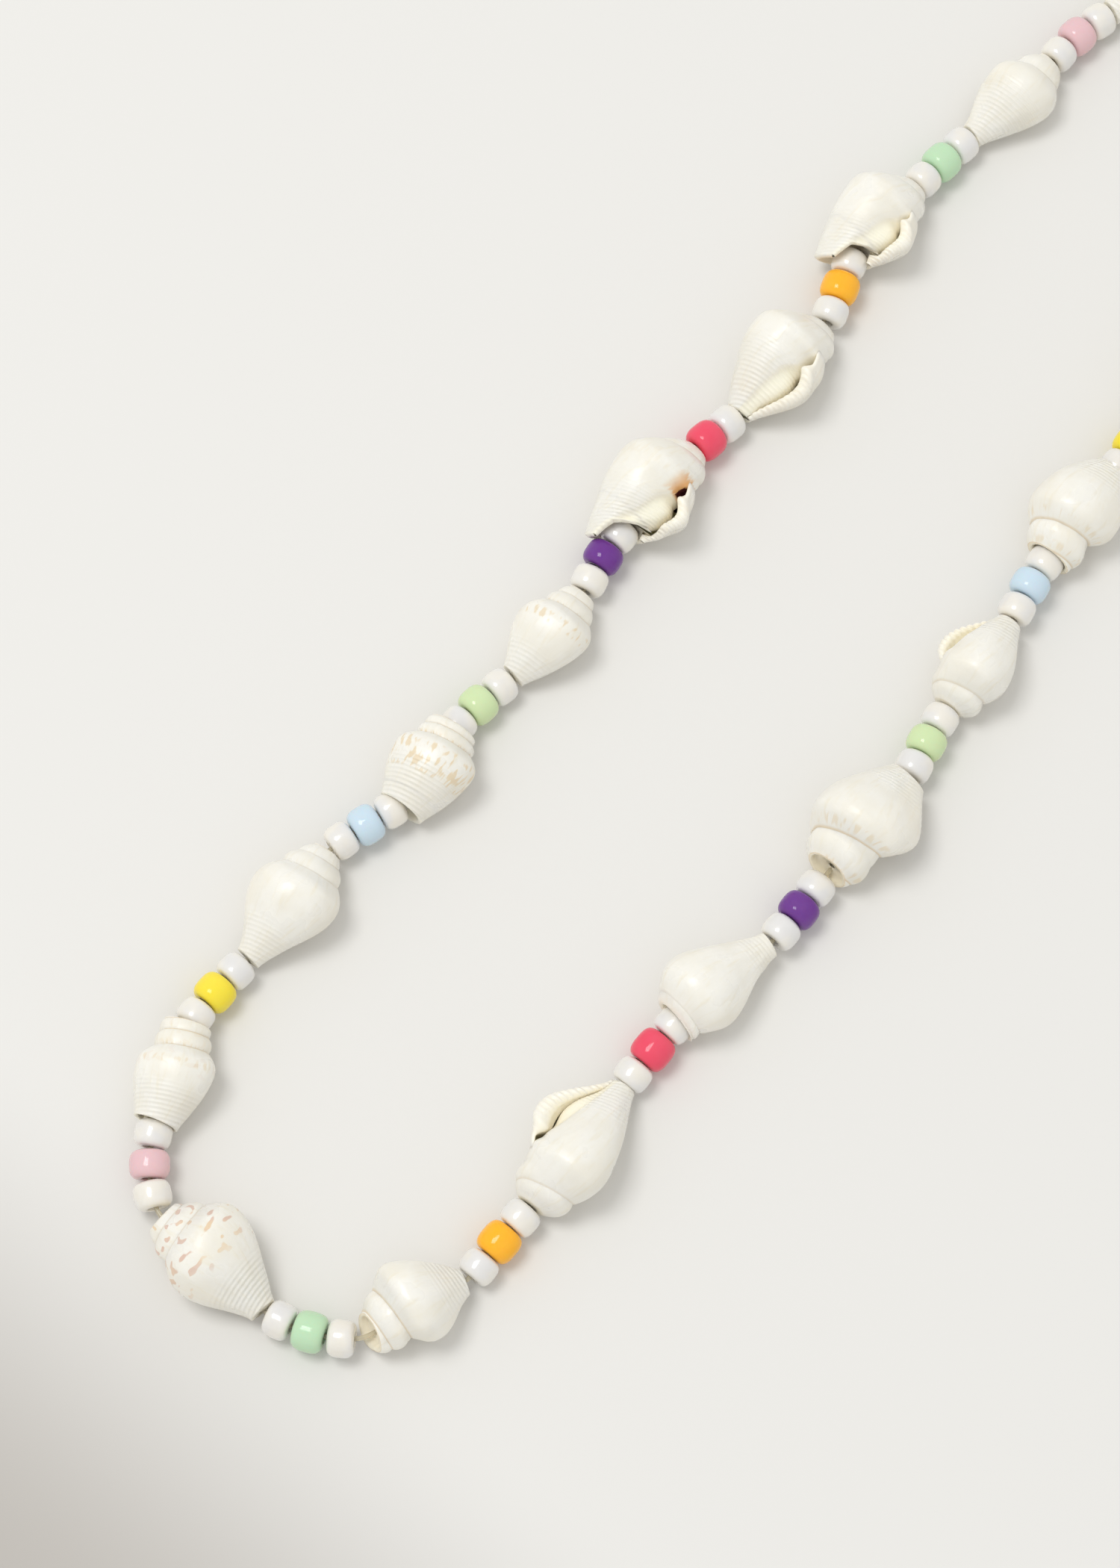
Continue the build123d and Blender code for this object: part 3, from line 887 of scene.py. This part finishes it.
def teeth_at(height):
    """The row of teeth along the lip, from 0 between two to 2 on one."""
    return 1 + np.sin(2 * math.pi * height / LIP_TOOTH_SPACING)


def lip_shift(form, turn, height):
    """How far the lip stands off the wall's own curve, in mm."""
    fade = 1 - smooth_step(aperture_place(form, height), 0.86, 1.05)
    swell = LIP_SWELL * form.look.lip + TOOTH_SWELL * form.look.teeth * teeth_at(height)
    return swell * filling(form, height) * fade * (1 - smooth_step(turn, 0.0, LIP_REACH))


def outside(form, turn, height):
    """Angle and radius of the outer face at turns back from the lip."""
    turn = np.broadcast_to(turn, height.shape)
    radius = wall_radius(form, turn, height) * rolled_in(form, turn, height)
    radius = radius + lumps(form, turn, height) + lip_flare(form, turn, height)
    return wall_angle(form, turn, height)[0], radius + lip_shift(form, turn, height)


# The wall's columns in turns back from the lip, evenly, and closer together at the seam
EVEN_TURNS = np.linspace(0, 1, WALL_COLUMNS + 1)
WALL_TURNS = blended(EVEN_TURNS, (1 - np.cos(math.pi * EVEN_TURNS)) / 2, COLUMN_CROWDING)


def wall_patch(form):
    """The outer face, from the tip over the body and round the spire's whorls."""
    height, bands = wall_rows(form, WALL_TURNS, -1, form.row.whorls + 1)
    points = shell_points(form, *outside(form, WALL_TURNS, height), height)
    cream = WALL_CREAM * smooth_step(WALL_TURNS, *WALL_CREAM_TURNS)
    cream = cream * (height < suture_height(form, 0.0))
    return grown_patch(form, points, WALL_TURNS, height, cream, False, bands)


def lip_patch(form):
    """The lip: round its edge, then back along its inside."""
    height, _ = wall_rows(form, np.zeros(1), -1, 0)
    fade = 1 - smooth_step(aperture_place(form, height), 0.90, 1.08)
    edge_angle, edge_radius = outside(form, 0.0, height)
    thick = blended(LIP_END_WALL, form.look.lip, filling(form, height) * fade)
    thick = edge_depth(form, edge_angle, edge_radius, height, thick)
    around = np.linspace(0, math.pi, LIP_COLUMNS)
    arc_radius = edge_radius - thick / 2 * (1 - np.cos(around))
    bulge = np.minimum(thick / 2, WIDEST_BULGE) + form.look.teeth * teeth_at(height) * fade
    arc_angle = edge_angle - np.degrees(bulge * np.sin(around) / edge_radius)
    back = np.linspace(0, INSIDE_REACH, INSIDE_COLUMNS + 1)[1:]
    heights = np.broadcast_to(height, (len(height), len(back)))
    inside_angle, inside_radius = outside(form, back, heights)
    depth = blended(SHELL_WALL, thick, 1 - smooth_step(back, 0, THICK_REACH))
    inside_radius = inside_radius - lip_shift(form, back, heights) - depth
    angle = np.concatenate([arc_angle, inside_angle], axis=1)
    radius = np.concatenate([arc_radius, inside_radius], axis=1)
    height = np.broadcast_to(height, angle.shape)
    cream = np.concatenate([np.linspace(0, LIP_CREAM, LIP_COLUMNS), np.ones(INSIDE_COLUMNS)])
    return grown_patch(form, shell_points(form, angle, radius, height), 0.0, height, cream, True)


def roll_patch(form):
    """The inner edge, which rolls in under the lip, turns round and comes back inside."""
    height, _ = wall_rows(form, np.ones(1), -1, -1)
    turn = 1 + ROLL_TURNS * rolling(form, height) * np.linspace(0, 1, ROLL_COLUMNS + 1)
    heights = np.broadcast_to(height, turn.shape)
    _, radius = outside(form, turn, heights)
    angle = wall_angle(form, 1.0, heights)[0] + 360 * (turn - 1)
    last_angle, last_radius = angle[:, -1:], radius[:, -1:]
    depth = edge_depth(form, last_angle, last_radius, height, SHELL_WALL)
    around = np.linspace(0, math.pi, LIP_COLUMNS)[1:]
    arc_radius = last_radius - depth / 2 * (1 - np.cos(around))
    arc_angle = last_angle + np.degrees(SHELL_WALL / 2 * np.sin(around) / last_radius)
    radius = np.concatenate([radius, arc_radius, radius[:, ::-1] - depth], axis=1)
    angle = np.concatenate([angle, arc_angle, angle[:, ::-1]], axis=1)
    height = np.broadcast_to(height, angle.shape)
    return grown_patch(form, shell_points(form, angle, radius, height), 1.0, height, 1.0, False)


def inside_patch(form, first_turn, last_turn, low):
    """The inside, seen through the openings, where the lip's own inside doesn't reach."""
    turns = np.linspace(first_turn, last_turn, INNER_STEPS)
    height = np.linspace(low, form.row.length, INNER_STEPS)[:, None]
    height = np.minimum(height, spire_end(form, turns) - INSIDE_END_GAP)
    angle, radius = outside(form, turns, height)
    points = shell_points(form, angle, radius - INSIDE_WALL, height)
    return grown_patch(form, points, turns, height, 1.0, True)


def end_patch(form, at_tip):
    """One end, round the thread: hollow where a bead enters or the spire is ground aslant,
    closed by a low dome elsewhere. Each ring has a radius, a height and a depth."""
    edge = (0 * WALL_TURNS if at_tip else spire_end(form, WALL_TURNS))[None, :]
    nest = form.row.tip_nest if at_tip else form.row.spire_nest
    cut = 0.0 if at_tip else form.look.cut
    _, radius = outside(form, WALL_TURNS, edge)
    hub = 0 * radius + HUB_RADIUS
    hole = 0 * radius + nested_radius(nest) + RIM_CLEARANCE if nest else radius - RIM_WALL
    rings = [(radius, edge, 0.0), ((radius + hole) / 2, edge, -RIM_CREST),
             (hole, edge, RIM_DROP)]
    if nest > 1 and at_tip:
        flat = level_heights(form, WALL_TURNS, nest + BULKHEAD_DEPTH)[None, :]
        rings += [(hole, share * flat, 0.0) for share in TUBE_SHARES]
        rings += [(FLOOR_SHARE * hole, flat, 0.0), (hub, flat, 0.0), (hub, flat, HOLLOW_DEPTH)]
    elif nest or cut > HOLLOW_CUT:
        floor = nest + HOLLOW_DEPTH + HOLLOW_SHARE * cut
        rings += [(hole, edge, share * floor) for share in WELL_SHARES]
        rings += [(FLOOR_SHARE * hole, edge, floor), (hub, edge, floor),
                  (hub, edge, floor + HOLLOW_DEPTH)]
    else:
        rings = [(share * radius, edge, -END_DOME * (1 - share ** 2)) for share in DOME_SHARES]
        rings += [(hub, edge, -END_DOME), (hub, edge, HOLLOW_DEPTH)]
    middle = form.row.length - cut / 2
    points = []
    for ring_radius, base, depth in rings:
        level = base if at_tip else blended(middle, base, ring_radius / radius)
        ring = shell_points(form, wall_angle(form, WALL_TURNS, base)[0], ring_radius, level)
        ring[..., 2] += depth if at_tip else -depth
        points.append(ring[0])
    return grown_patch(form, np.array(points), WALL_TURNS, edge, RIM_CREAM, at_tip)


def bulkhead_patch(form):
    """Behind a bead that sits deep in the tip, a wall across the whole opening."""
    level = 0 * EVEN_TURNS[None, :] + form.row.tip_nest
    for _ in range(3):
        _, opening = wall_angle(form, 0.0, level)
        turns = EVEN_TURNS[None, :] * 360 / (360 - opening)
        level = level_heights(form, turns, form.row.tip_nest + BULKHEAD_DEPTH)
    angle, _ = wall_angle(form, turns, level)
    rolled = np.where(turns > 1, 1 + (turns - 1) * (360 - opening) / 360, turns)
    _, radius = outside(form, rolled, level + BULKHEAD_RISE)
    points = []
    for share in np.linspace(0, 1, BULKHEAD_ROWS):
        ring_radius = blended(HUB_RADIUS, radius - BULKHEAD_INSET, share)
        ring = shell_points(form, angle, ring_radius, level)
        ring[..., 2] += BULKHEAD_RISE * share ** 2
        points.append(ring[0])
    return grown_patch(form, np.array(points), 1.0, form.row.tip_nest, 1.0, False)


def shell_patches(form):
    """Every surface of a shell, the wall first."""
    above_lip = INSIDE_OVERLAP * suture_height(form, 0.0)
    patches = [wall_patch(form), lip_patch(form), roll_patch(form),
               inside_patch(form, INSIDE_REACH, 1.0, 0.0),
               inside_patch(form, 0.0, INSIDE_REACH, above_lip),
               end_patch(form, True), end_patch(form, False)]
    if form.row.tip_nest > 1:
        patches.append(bulkhead_patch(form))
    return patches


def placed_on_string(form, points, entry, leave, lift):
    """Points from the shell's own axes onto its stretch of thread."""
    row = form.row
    axis = (entry - leave).normalized()
    upward = (Vector((0, 0, 1)) - axis * axis.z).normalized()
    side = axis.cross(upward)
    turn = math.radians(form.look.turn)
    x_axis = upward * math.cos(turn) + side * math.sin(turn)
    y_axis = axis.cross(x_axis)
    origin = leave - axis * row.tip_nest
    rise = filling(form, points[..., 2])[..., None] * np.array(upward) * lift
    return points @ np.array([x_axis, y_axis, axis]) + np.array(origin) + rise


def resting_lift(form, points, entry, leave):
    """The lift that puts the belly just above the table."""
    flat = placed_on_string(form, points, entry, leave, 0.0)
    fill = filling(form, points[..., 2])
    drop = TABLE_CLEARANCE - flat[..., 2]
    lifts = np.where(fill > LEAST_FILL, drop / np.maximum(fill, LEAST_FILL), 0.0)
    return max(0.0, float(np.max(lifts)))


def make_shell(number, entry, leave):
    """One shell, its spire end at entry and its tip end at leave."""
    row = SHELLS[number - 1]
    # an end that a bead only just enters is drawn back to meet the bead
    for end in ("tip_nest", "spire_nest"):
        nest = getattr(row, end)
        if nest < SHALLOW_NEST:
            row = row._replace(length=row.length - nest, **{end: 0.0})
    form = shell_form(row, LOOKS[number - 1])
    patches = shell_patches(form)
    lift = resting_lift(form, patches[0].points, entry, leave)
    placed = [patch._replace(points=placed_on_string(form, patch.points, entry, leave, lift))
              for patch in patches]
    return mesh_object(f"sea_snail_shell_{number:02d}", placed, SHELL_WELD)


def repeat_nodes():
    """A node group that sets one bead at every point, turned as the point says, a little
    smaller here and there, as plain geometry with its finish."""
    group = bpy.data.node_groups.new("beads on a string", "GeometryNodeTree")
    sockets = {}
    for name, kind in (("Places", "Geometry"), ("Bead", "Object"), ("Finish", "Material"),
                       ("Smallest", "Float"), ("Seed", "Int")):
        socket = group.interface.new_socket(name=name, in_out="INPUT",
                                            socket_type="NodeSocket" + kind)
        sockets[name] = socket.identifier
    group.interface.new_socket(name="Beads", in_out="OUTPUT", socket_type="NodeSocketGeometry")
    given = group.nodes.new("NodeGroupInput").outputs
    bead = add_node(group, "GeometryNodeObjectInfo", {"Object": given["Bead"]}, "Geometry")
    turn = add_node(group, "GeometryNodeInputNamedAttribute", {"Name": "turn"}, "Attribute",
                    data_type="FLOAT_VECTOR")
    size = add_node(group, "FunctionNodeRandomValue",
                    {2: given["Smallest"], 3: 1.0, "Seed": given["Seed"]}, 1)
    beads = add_node(group, "GeometryNodeInstanceOnPoints",
                     {"Points": given["Places"], "Instance": bead, "Rotation": turn,
                      "Scale": size})
    beads = add_node(group, "GeometryNodeRealizeInstances", {"Geometry": beads})
    beads = add_node(group, "GeometryNodeSetMaterial",
                     {"Geometry": beads, "Material": given["Finish"]})
    add_node(group, "NodeGroupOutput", {"Beads": beads})
    return group, sockets


def repeated_beads(name, bead, stretches, finish):
    """One object with a copy of the bead on each stretch of thread."""
    places = bpy.data.meshes.new("bead places")
    places.from_pydata([(start + end) / 2 * MM for start, end in stretches], [], [])
    turns = places.attributes.new("turn", "FLOAT_VECTOR", "POINT")
    for k, (start, end) in enumerate(stretches):
        axes = Matrix([list(axis) for axis in along_axes(start, end)]).transposed()
        turns.data[k].vector = axes.to_euler("XYZ")
    holder = put_in_scene("bead places", places)
    modifier = holder.modifiers.new("beads on a string", "NODES")
    modifier.node_group, sockets = repeat_nodes()
    for key, value in (("Bead", bead), ("Finish", finish), ("Smallest", SMALLEST_PEARL),
                       ("Seed", PEARL_SEED)):
        modifier[sockets[key]] = value
    graph = bpy.context.evaluated_depsgraph_get()
    mesh = bpy.data.meshes.new_from_object(holder.evaluated_get(graph))
    holder.modifiers.clear()
    bpy.data.objects.remove(holder)
    bpy.data.objects.remove(bead)
    mesh.name = name
    return put_in_scene(name, mesh)


def thread_path(corners, ends):
    """The thread's middle line: straight runs joined by arcs, into the clasp's bores."""
    clasp_start, clasp_end = ends[0]
    inward = (clasp_end - clasp_start).normalized() * (CLASP_BORE_DEPTH - PIECE_GAP)
    route = [clasp_end - inward] + corners[1:] + [clasp_start + inward]
    kept = [route[0]]
    for k in range(1, len(route) - 1):
        if math.degrees((route[k] - kept[-1]).angle(route[k + 1] - route[k])) > STRAIGHT_TURN:
            kept.append(route[k])
    kept.append(route[-1])
    slack = (BORE_DIAMETER - THREAD_DIAMETER) / 2 * BORE_SLACK_SHARE
    path = [kept[0]]
    for before, corner, after in zip(kept, kept[1:], kept[2:]):
        half_turn = (corner - before).angle(after - corner) / 2
        shorter = min((corner - before).length, (after - corner).length)
        widest = slack / (1 / math.cos(half_turn) - 1)
        radius = min(ARC_SHARE_OF_RUN * shorter / math.tan(half_turn), widest)
        back = radius * math.tan(half_turn)
        start = corner + (before - corner).normalized() * back
        stop = corner + (after - corner).normalized() * back
        for share in np.linspace(0, 1, ARC_STEPS):
            path.append(start.lerp(corner, share).lerp(corner.lerp(stop, share), share))
    path.append(kept[-1])
    return path


def tube_patch(path, diameter):
    """A round tube along a path, each end closed by a ring without width."""
    points = np.array(path)
    ways = np.gradient(points, axis=0)
    ways /= np.linalg.norm(ways, axis=1)[:, None]
    across = np.cross(ways, (0.0, 0.0, 1.0))
    across /= np.linalg.norm(across, axis=1)[:, None]
    above = np.cross(across, ways)
    angles = np.linspace(0, 2 * math.pi, THREAD_SIDES + 1)
    radii = np.pad(np.full(len(points), diameter / 2), 1)
    points, across, above = (np.pad(rows, ((1, 1), (0, 0)), mode="edge")[:, None]
                             for rows in (points, across, above))
    ring = across * np.cos(angles)[:, None] + above * np.sin(angles)[:, None]
    return Patch(points + ring * radii[:, None, None], {}, 0.0, True)


# Colours as the eye takes them in soft daylight
IVORY = "#F4F0E5"
IVORY_SHADE = "#ECE5D4"
CREAM = "#FFF6E1"
TAN = "#DDBD82"
STREAK_TAN = "#EBE1C9"
# painted shade along the suture's groove, tinted tan
SUTURE_SHADE_TAN = "#D9BC8E"
SPOT_ROSE = "#CF9C86"
SPOT_TAN = "#E5BE86"
RUST = "#E3A04B"
RUST_DARK = "#4A1E1A"
PEARL_WARM = "#EAE5DA"
PEARL_COOL = "#E1DFDC"
NYLON = "#E9E0C6"
BRASS = "#E1BE74"
WHITE = "#FFFFFF"
BEAD_COLOURS = {"pink": "#E3BCBF", "mint": "#BCDDB6", "orange": "#FFB400", "red": "#E94560",
                "purple": "#662188", "light_green": "#CDE0AC", "light_blue": "#C6DAE6",
                "yellow": "#F4DE30"}

# Relief and fine marks, in millimetres
CORD_SPACING = 0.44
CORD_RELIEF = 0.035
LINE_RELIEF = 0.05
WEAR_RELIEF = 0.035
DASH_BLUR = 0.2
# SUTURE_LINE: width in mm of the painted shade along the suture
SUTURE_LINE = 0.22
GLASS_WAVE = 0.3

# Markings of each shell. cords: share of the length from the tip that has spiral cords.
# cord: their strength. dashes: strength of the row of tan dashes, which lies from dash_low
# to dash_high in mm below the suture. spots: strength of the scattered spots. suture:
# strength of the painted shade, tinted tan, along the suture's groove. rust: strength of
# the brown stain at the aperture's upper end.
Marks = namedtuple("Marks", "cords cord dashes dash_low dash_high spots suture rust",
                   defaults=(0.35, 0.6, 0.0, 1.4, 2.2, 0.0, 0.4, 0.0))
MARKS = [
    Marks(suture=0.3),
    Marks(cords=0.62, cord=1.0, suture=0.25),
    Marks(cords=0.45, suture=0.2),
    Marks(cords=0.62, cord=0.9, suture=0.2),
    Marks(cords=0.5, cord=0.8, dashes=0.15, dash_low=2.0, dash_high=4.0, rust=1.0),
    Marks(cords=0.3, dashes=0.8, dash_low=1.6, dash_high=2.8),
    Marks(cords=0.55, cord=0.9, dashes=0.9, dash_low=1.2, dash_high=4.6, suture=0.6),
    Marks(cords=0.32, suture=0.25),
    Marks(cords=0.4, cord=0.7, dashes=0.5, spots=0.15, suture=0.7),
    Marks(cords=0.34, cord=0.9, dashes=0.1, spots=1.0),
    Marks(suture=0.6),
    Marks(suture=0.3),
    Marks(cords=0.3, cord=0.5, suture=0.05),
    Marks(cords=0.3, cord=0.5, dashes=0.6, dash_low=0.3, dash_high=1.0, suture=0.7),
    Marks(cord=0.5, suture=0.3),
    Marks(cord=0.5, dashes=0.5, dash_low=0.3, dash_high=0.9, suture=0.6),
    Marks(dashes=0.5),
    Marks(),
    Marks(dashes=0.5, dash_high=2.6, spots=0.3),
]


def streaks(tree, growth, scale, place, detail):
    """Noise drawn out along the lip's old edges. scale: patches a turn and a mm."""
    vector = add_node(tree, "ShaderNodeMapping",
                      {"Vector": growth, "Scale": (*scale, 1.0), "Location": place})
    return add_node(tree, "ShaderNodeTexNoise",
                    {"Vector": vector, "Scale": 1.0, "Detail": detail})


def shell_material(number):
    """Weathered ivory shell: satin, faintly translucent, with growth lines along the lip,
    fine cords round the tip and cream enamel inside."""
    marks = MARKS[number - 1]
    material, tree = new_material(f"ivory shell {number:02d}")
    growth = add_node(tree, "ShaderNodeUVMap", uv_map="growth")
    place = add_node(tree, "ShaderNodeUVMap", uv_map="place")
    turn = add_node(tree, "ShaderNodeSeparateXYZ", {"Vector": growth}, "X")
    below = add_node(tree, "ShaderNodeSeparateXYZ", {"Vector": growth}, "Y")
    from_tip = add_node(tree, "ShaderNodeSeparateXYZ", {"Vector": place}, "Y")
    cream = add_node(tree, "ShaderNodeAttribute", output="Fac", attribute_name="cream")
    # slow cloudiness, and streaks that follow the lip's old edges
    cloud = clouds(tree, 0.26)
    streak = streaks(tree, growth, (38.0, 0.35), (number, 0, 0), 4.0)
    base = coated(tree, IVORY, IVORY_SHADE, 0.5, (cloud, 0.35, 0.68))
    base = coated(tree, base, STREAK_TAN, 0.45, (streak, 0.5, 0.75))
    # a row of dashes, scattered spots, painted shade in the suture's groove and the cream inside
    if marks.dashes:
        low, high = marks.dash_low, marks.dash_high
        dash = streaks(tree, growth, (46.0, 0.7), (3.0 * number, 5, 0), 1.0)
        base = coated(tree, base, TAN, 0.55 * marks.dashes, (dash, 0.50, 0.62),
                      (below, low - DASH_BLUR, low + DASH_BLUR),
                      (below, high + DASH_BLUR, high - DASH_BLUR))
    if marks.spots:
        spots = streaks(tree, growth, (21.0, 1.2), (number, 2, 0), 0.6)
        tint = coated(tree, SPOT_ROSE, SPOT_TAN, 1.0, (cloud, 0.4, 0.6))
        base = coated(tree, base, tint, 0.6 * marks.spots, (spots, 0.60, 0.66),
                      (from_tip, 0.30, 0.55))
    # painted shade, tinted tan, along the suture's groove
    base = coated(tree, base, SUTURE_SHADE_TAN, marks.suture, (below, SUTURE_LINE, 0.0))
    base = coated(tree, base, CREAM, cream)
    # the stain where the aperture ends, its edge ragged along the growth
    if marks.rust:
        ragged = streaks(tree, growth, (60.0, 0.6), (0, 0, 0), 3.0)
        level = add_node(tree, "ShaderNodeMath", {0: ragged, 1: 0.16, 2: from_tip},
                         operation="MULTIPLY_ADD")
        base = coated(tree, base, RUST, 0.85 * marks.rust, (turn, 0.90, 0.985),
                      (level, 0.60, 0.66), (level, 0.84, 0.78))
        base = coated(tree, base, RUST_DARK, marks.rust, (cream, 0.60, 0.75),
                      (level, 0.64, 0.66), (level, 0.76, 0.74))
    # relief in mm: cords round the tip, growth lines, a little wear
    cord = add_node(tree, "ShaderNodeMath", {0: below, 1: 2 * math.pi / CORD_SPACING},
                    operation="MULTIPLY")
    cord = add_node(tree, "ShaderNodeMath", {0: cord}, operation="SINE")
    reach = add_node(tree, "ShaderNodeMapRange",
                     {"Value": from_tip, "From Min": marks.cords, "From Max": 0.6 * marks.cords,
                      "To Max": CORD_RELIEF * marks.cord}, interpolation_type="SMOOTHSTEP")
    relief = 0.0
    for pattern, depth in ((cord, reach), (streak, LINE_RELIEF),
                           (clouds(tree, 1.4, 3.0), WEAR_RELIEF)):
        relief = add_node(tree, "ShaderNodeMath", {0: pattern, 1: depth, 2: relief},
                          operation="MULTIPLY_ADD")
    bump = add_node(tree, "ShaderNodeBump", {"Height": relief, "Strength": 1.0, "Distance": MM})
    rough = add_node(tree, "ShaderNodeMapRange",
                     {"Value": cloud, "From Min": 0.3, "From Max": 0.7, "To Min": 0.26,
                      "To Max": 0.38}, interpolation_type="SMOOTHSTEP")
    finish_surface(tree, {"Base Color": base, "Roughness": rough, "Normal": bump,
                          "Subsurface Weight": 0.5, "Subsurface Scale": 0.4 * MM,
                          "Subsurface Radius": (1.0, 0.97, 0.88), "Specular IOR Level": 0.45})
    return material


def glass_waves(tree, per_mm, strength):
    """The faint waviness of pressed glass."""
    return add_node(tree, "ShaderNodeBump", {"Height": clouds(tree, per_mm),
                                             "Strength": strength, "Distance": GLASS_WAVE * MM})


def glass_bead_material(name):
    """Opaque coloured glass with a fire-polished gloss; colour reaches a little way in."""
    material, tree = new_material(f"opaque {name.replace('_', ' ')} glass")
    paler = add_node(tree, "ShaderNodeMath", {0: clouds(tree, 0.42), 1: 0.05},
                     operation="MULTIPLY")
    finish_surface(tree, {"Base Color": coated(tree, BEAD_COLOURS[name], WHITE, paler),
                          "Normal": glass_waves(tree, 0.7, 0.12), "Roughness": 0.10,
                          "Specular IOR Level": 0.32, "Subsurface Weight": 0.15,
                          "Subsurface Scale": 0.6 * MM})
    return material


def pearl_material():
    """White glass with a pearl lustre: a clear glossy film over a soft milky body that
    turns faintly warm and cool."""
    material, tree = new_material("pearl lustre glass")
    base = coated(tree, PEARL_WARM, PEARL_COOL, 1.0, (clouds(tree, 0.33), 0.35, 0.65))
    finish_surface(tree, {"Base Color": base, "Normal": glass_waves(tree, 0.9, 0.10),
                          "Roughness": 0.32, "Specular IOR Level": 0.7,
                          "Subsurface Weight": 0.7,
                          "Subsurface Scale": 1.0 * MM, "Subsurface Radius": (1.0, 1.0, 1.0),
                          "Coat Weight": 1.0, "Coat Roughness": 0.04, "Coat IOR": 1.75})
    return material


def thread_material():
    """Clear nylon monofilament, faintly yellow with age."""
    material, tree = new_material("clear nylon")
    finish_surface(tree, {"Base Color": NYLON, "Roughness": 0.22, "Transmission Weight": 0.6,
                          "IOR": 1.53})
    return material


def brass_material():
    """Bright turned brass with a fine satin."""
    material, tree = new_material("turned brass")
    finish_surface(tree, {"Base Color": BRASS, "Metallic": 1.0, "Roughness": 0.24})
    return material


made = {}
for piece, (start, end) in zip(pieces, ends):
    if piece.kind == "shell":
        node = f"shell_{piece.index:02d}"
        made[node] = make_shell(piece.index, start, end)
        made[node].data.materials.append(shell_material(piece.index))
glass = {name: glass_bead_material(name) for name in BEAD_COLOURS}
for piece, (start, end) in zip(pieces, ends):
    if piece.kind == "bead":
        bead_colour = GROUPS[piece.index - 1].colour
        node = f"bead_{piece.index:02d}_{bead_colour}"
        patch = turned_patch(bead_profile(BEAD_DIAMETER, piece.length), start, end)
        made[node] = mesh_object(f"glass_{node}", [patch], BEAD_WELD)
        made[node].data.materials.append(glass[bead_colour])
    elif piece.kind == "clasp":
        patch = turned_patch(clasp_profile(), start, end)
        made["clasp"] = mesh_object("barrel_clasp", [patch], BEAD_WELD)
finishes = {"pearl_beads": pearl_material(), "thread": thread_material(),
            "clasp": brass_material()}
pearl_end = Vector((0, 0, PEARL_LENGTH / 2))
patch = turned_patch(bead_profile(PEARL_DIAMETER, PEARL_LENGTH), -pearl_end, pearl_end)
pearl = mesh_object("pearl", [patch], BEAD_WELD)
stretches = [stretch for piece, stretch in zip(pieces, ends) if piece.kind == "pearl"]
made["pearl_beads"] = repeated_beads("pearl_lustre_beads", pearl, stretches,
                                     finishes["pearl_beads"])
patch = tube_patch(thread_path(corners, ends), THREAD_DIAMETER)
made["thread"] = mesh_object("nylon_thread", [patch], BEAD_WELD)

for node, slot in (("pearl_beads", "bead_pearl"), ("thread", "nylon_thread"),
                   ("clasp", "clasp_metal")):
    if not made[node].data.materials:
        made[node].data.materials.append(finishes[node])

for node, piece in made.items():
    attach(piece, "root")
    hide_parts(node)

triangles = {node: sum(len(p.vertices) - 2 for p in piece.data.polygons)
             for node, piece in made.items()}
print("triangles", sum(triangles.values()), max(triangles.values()))
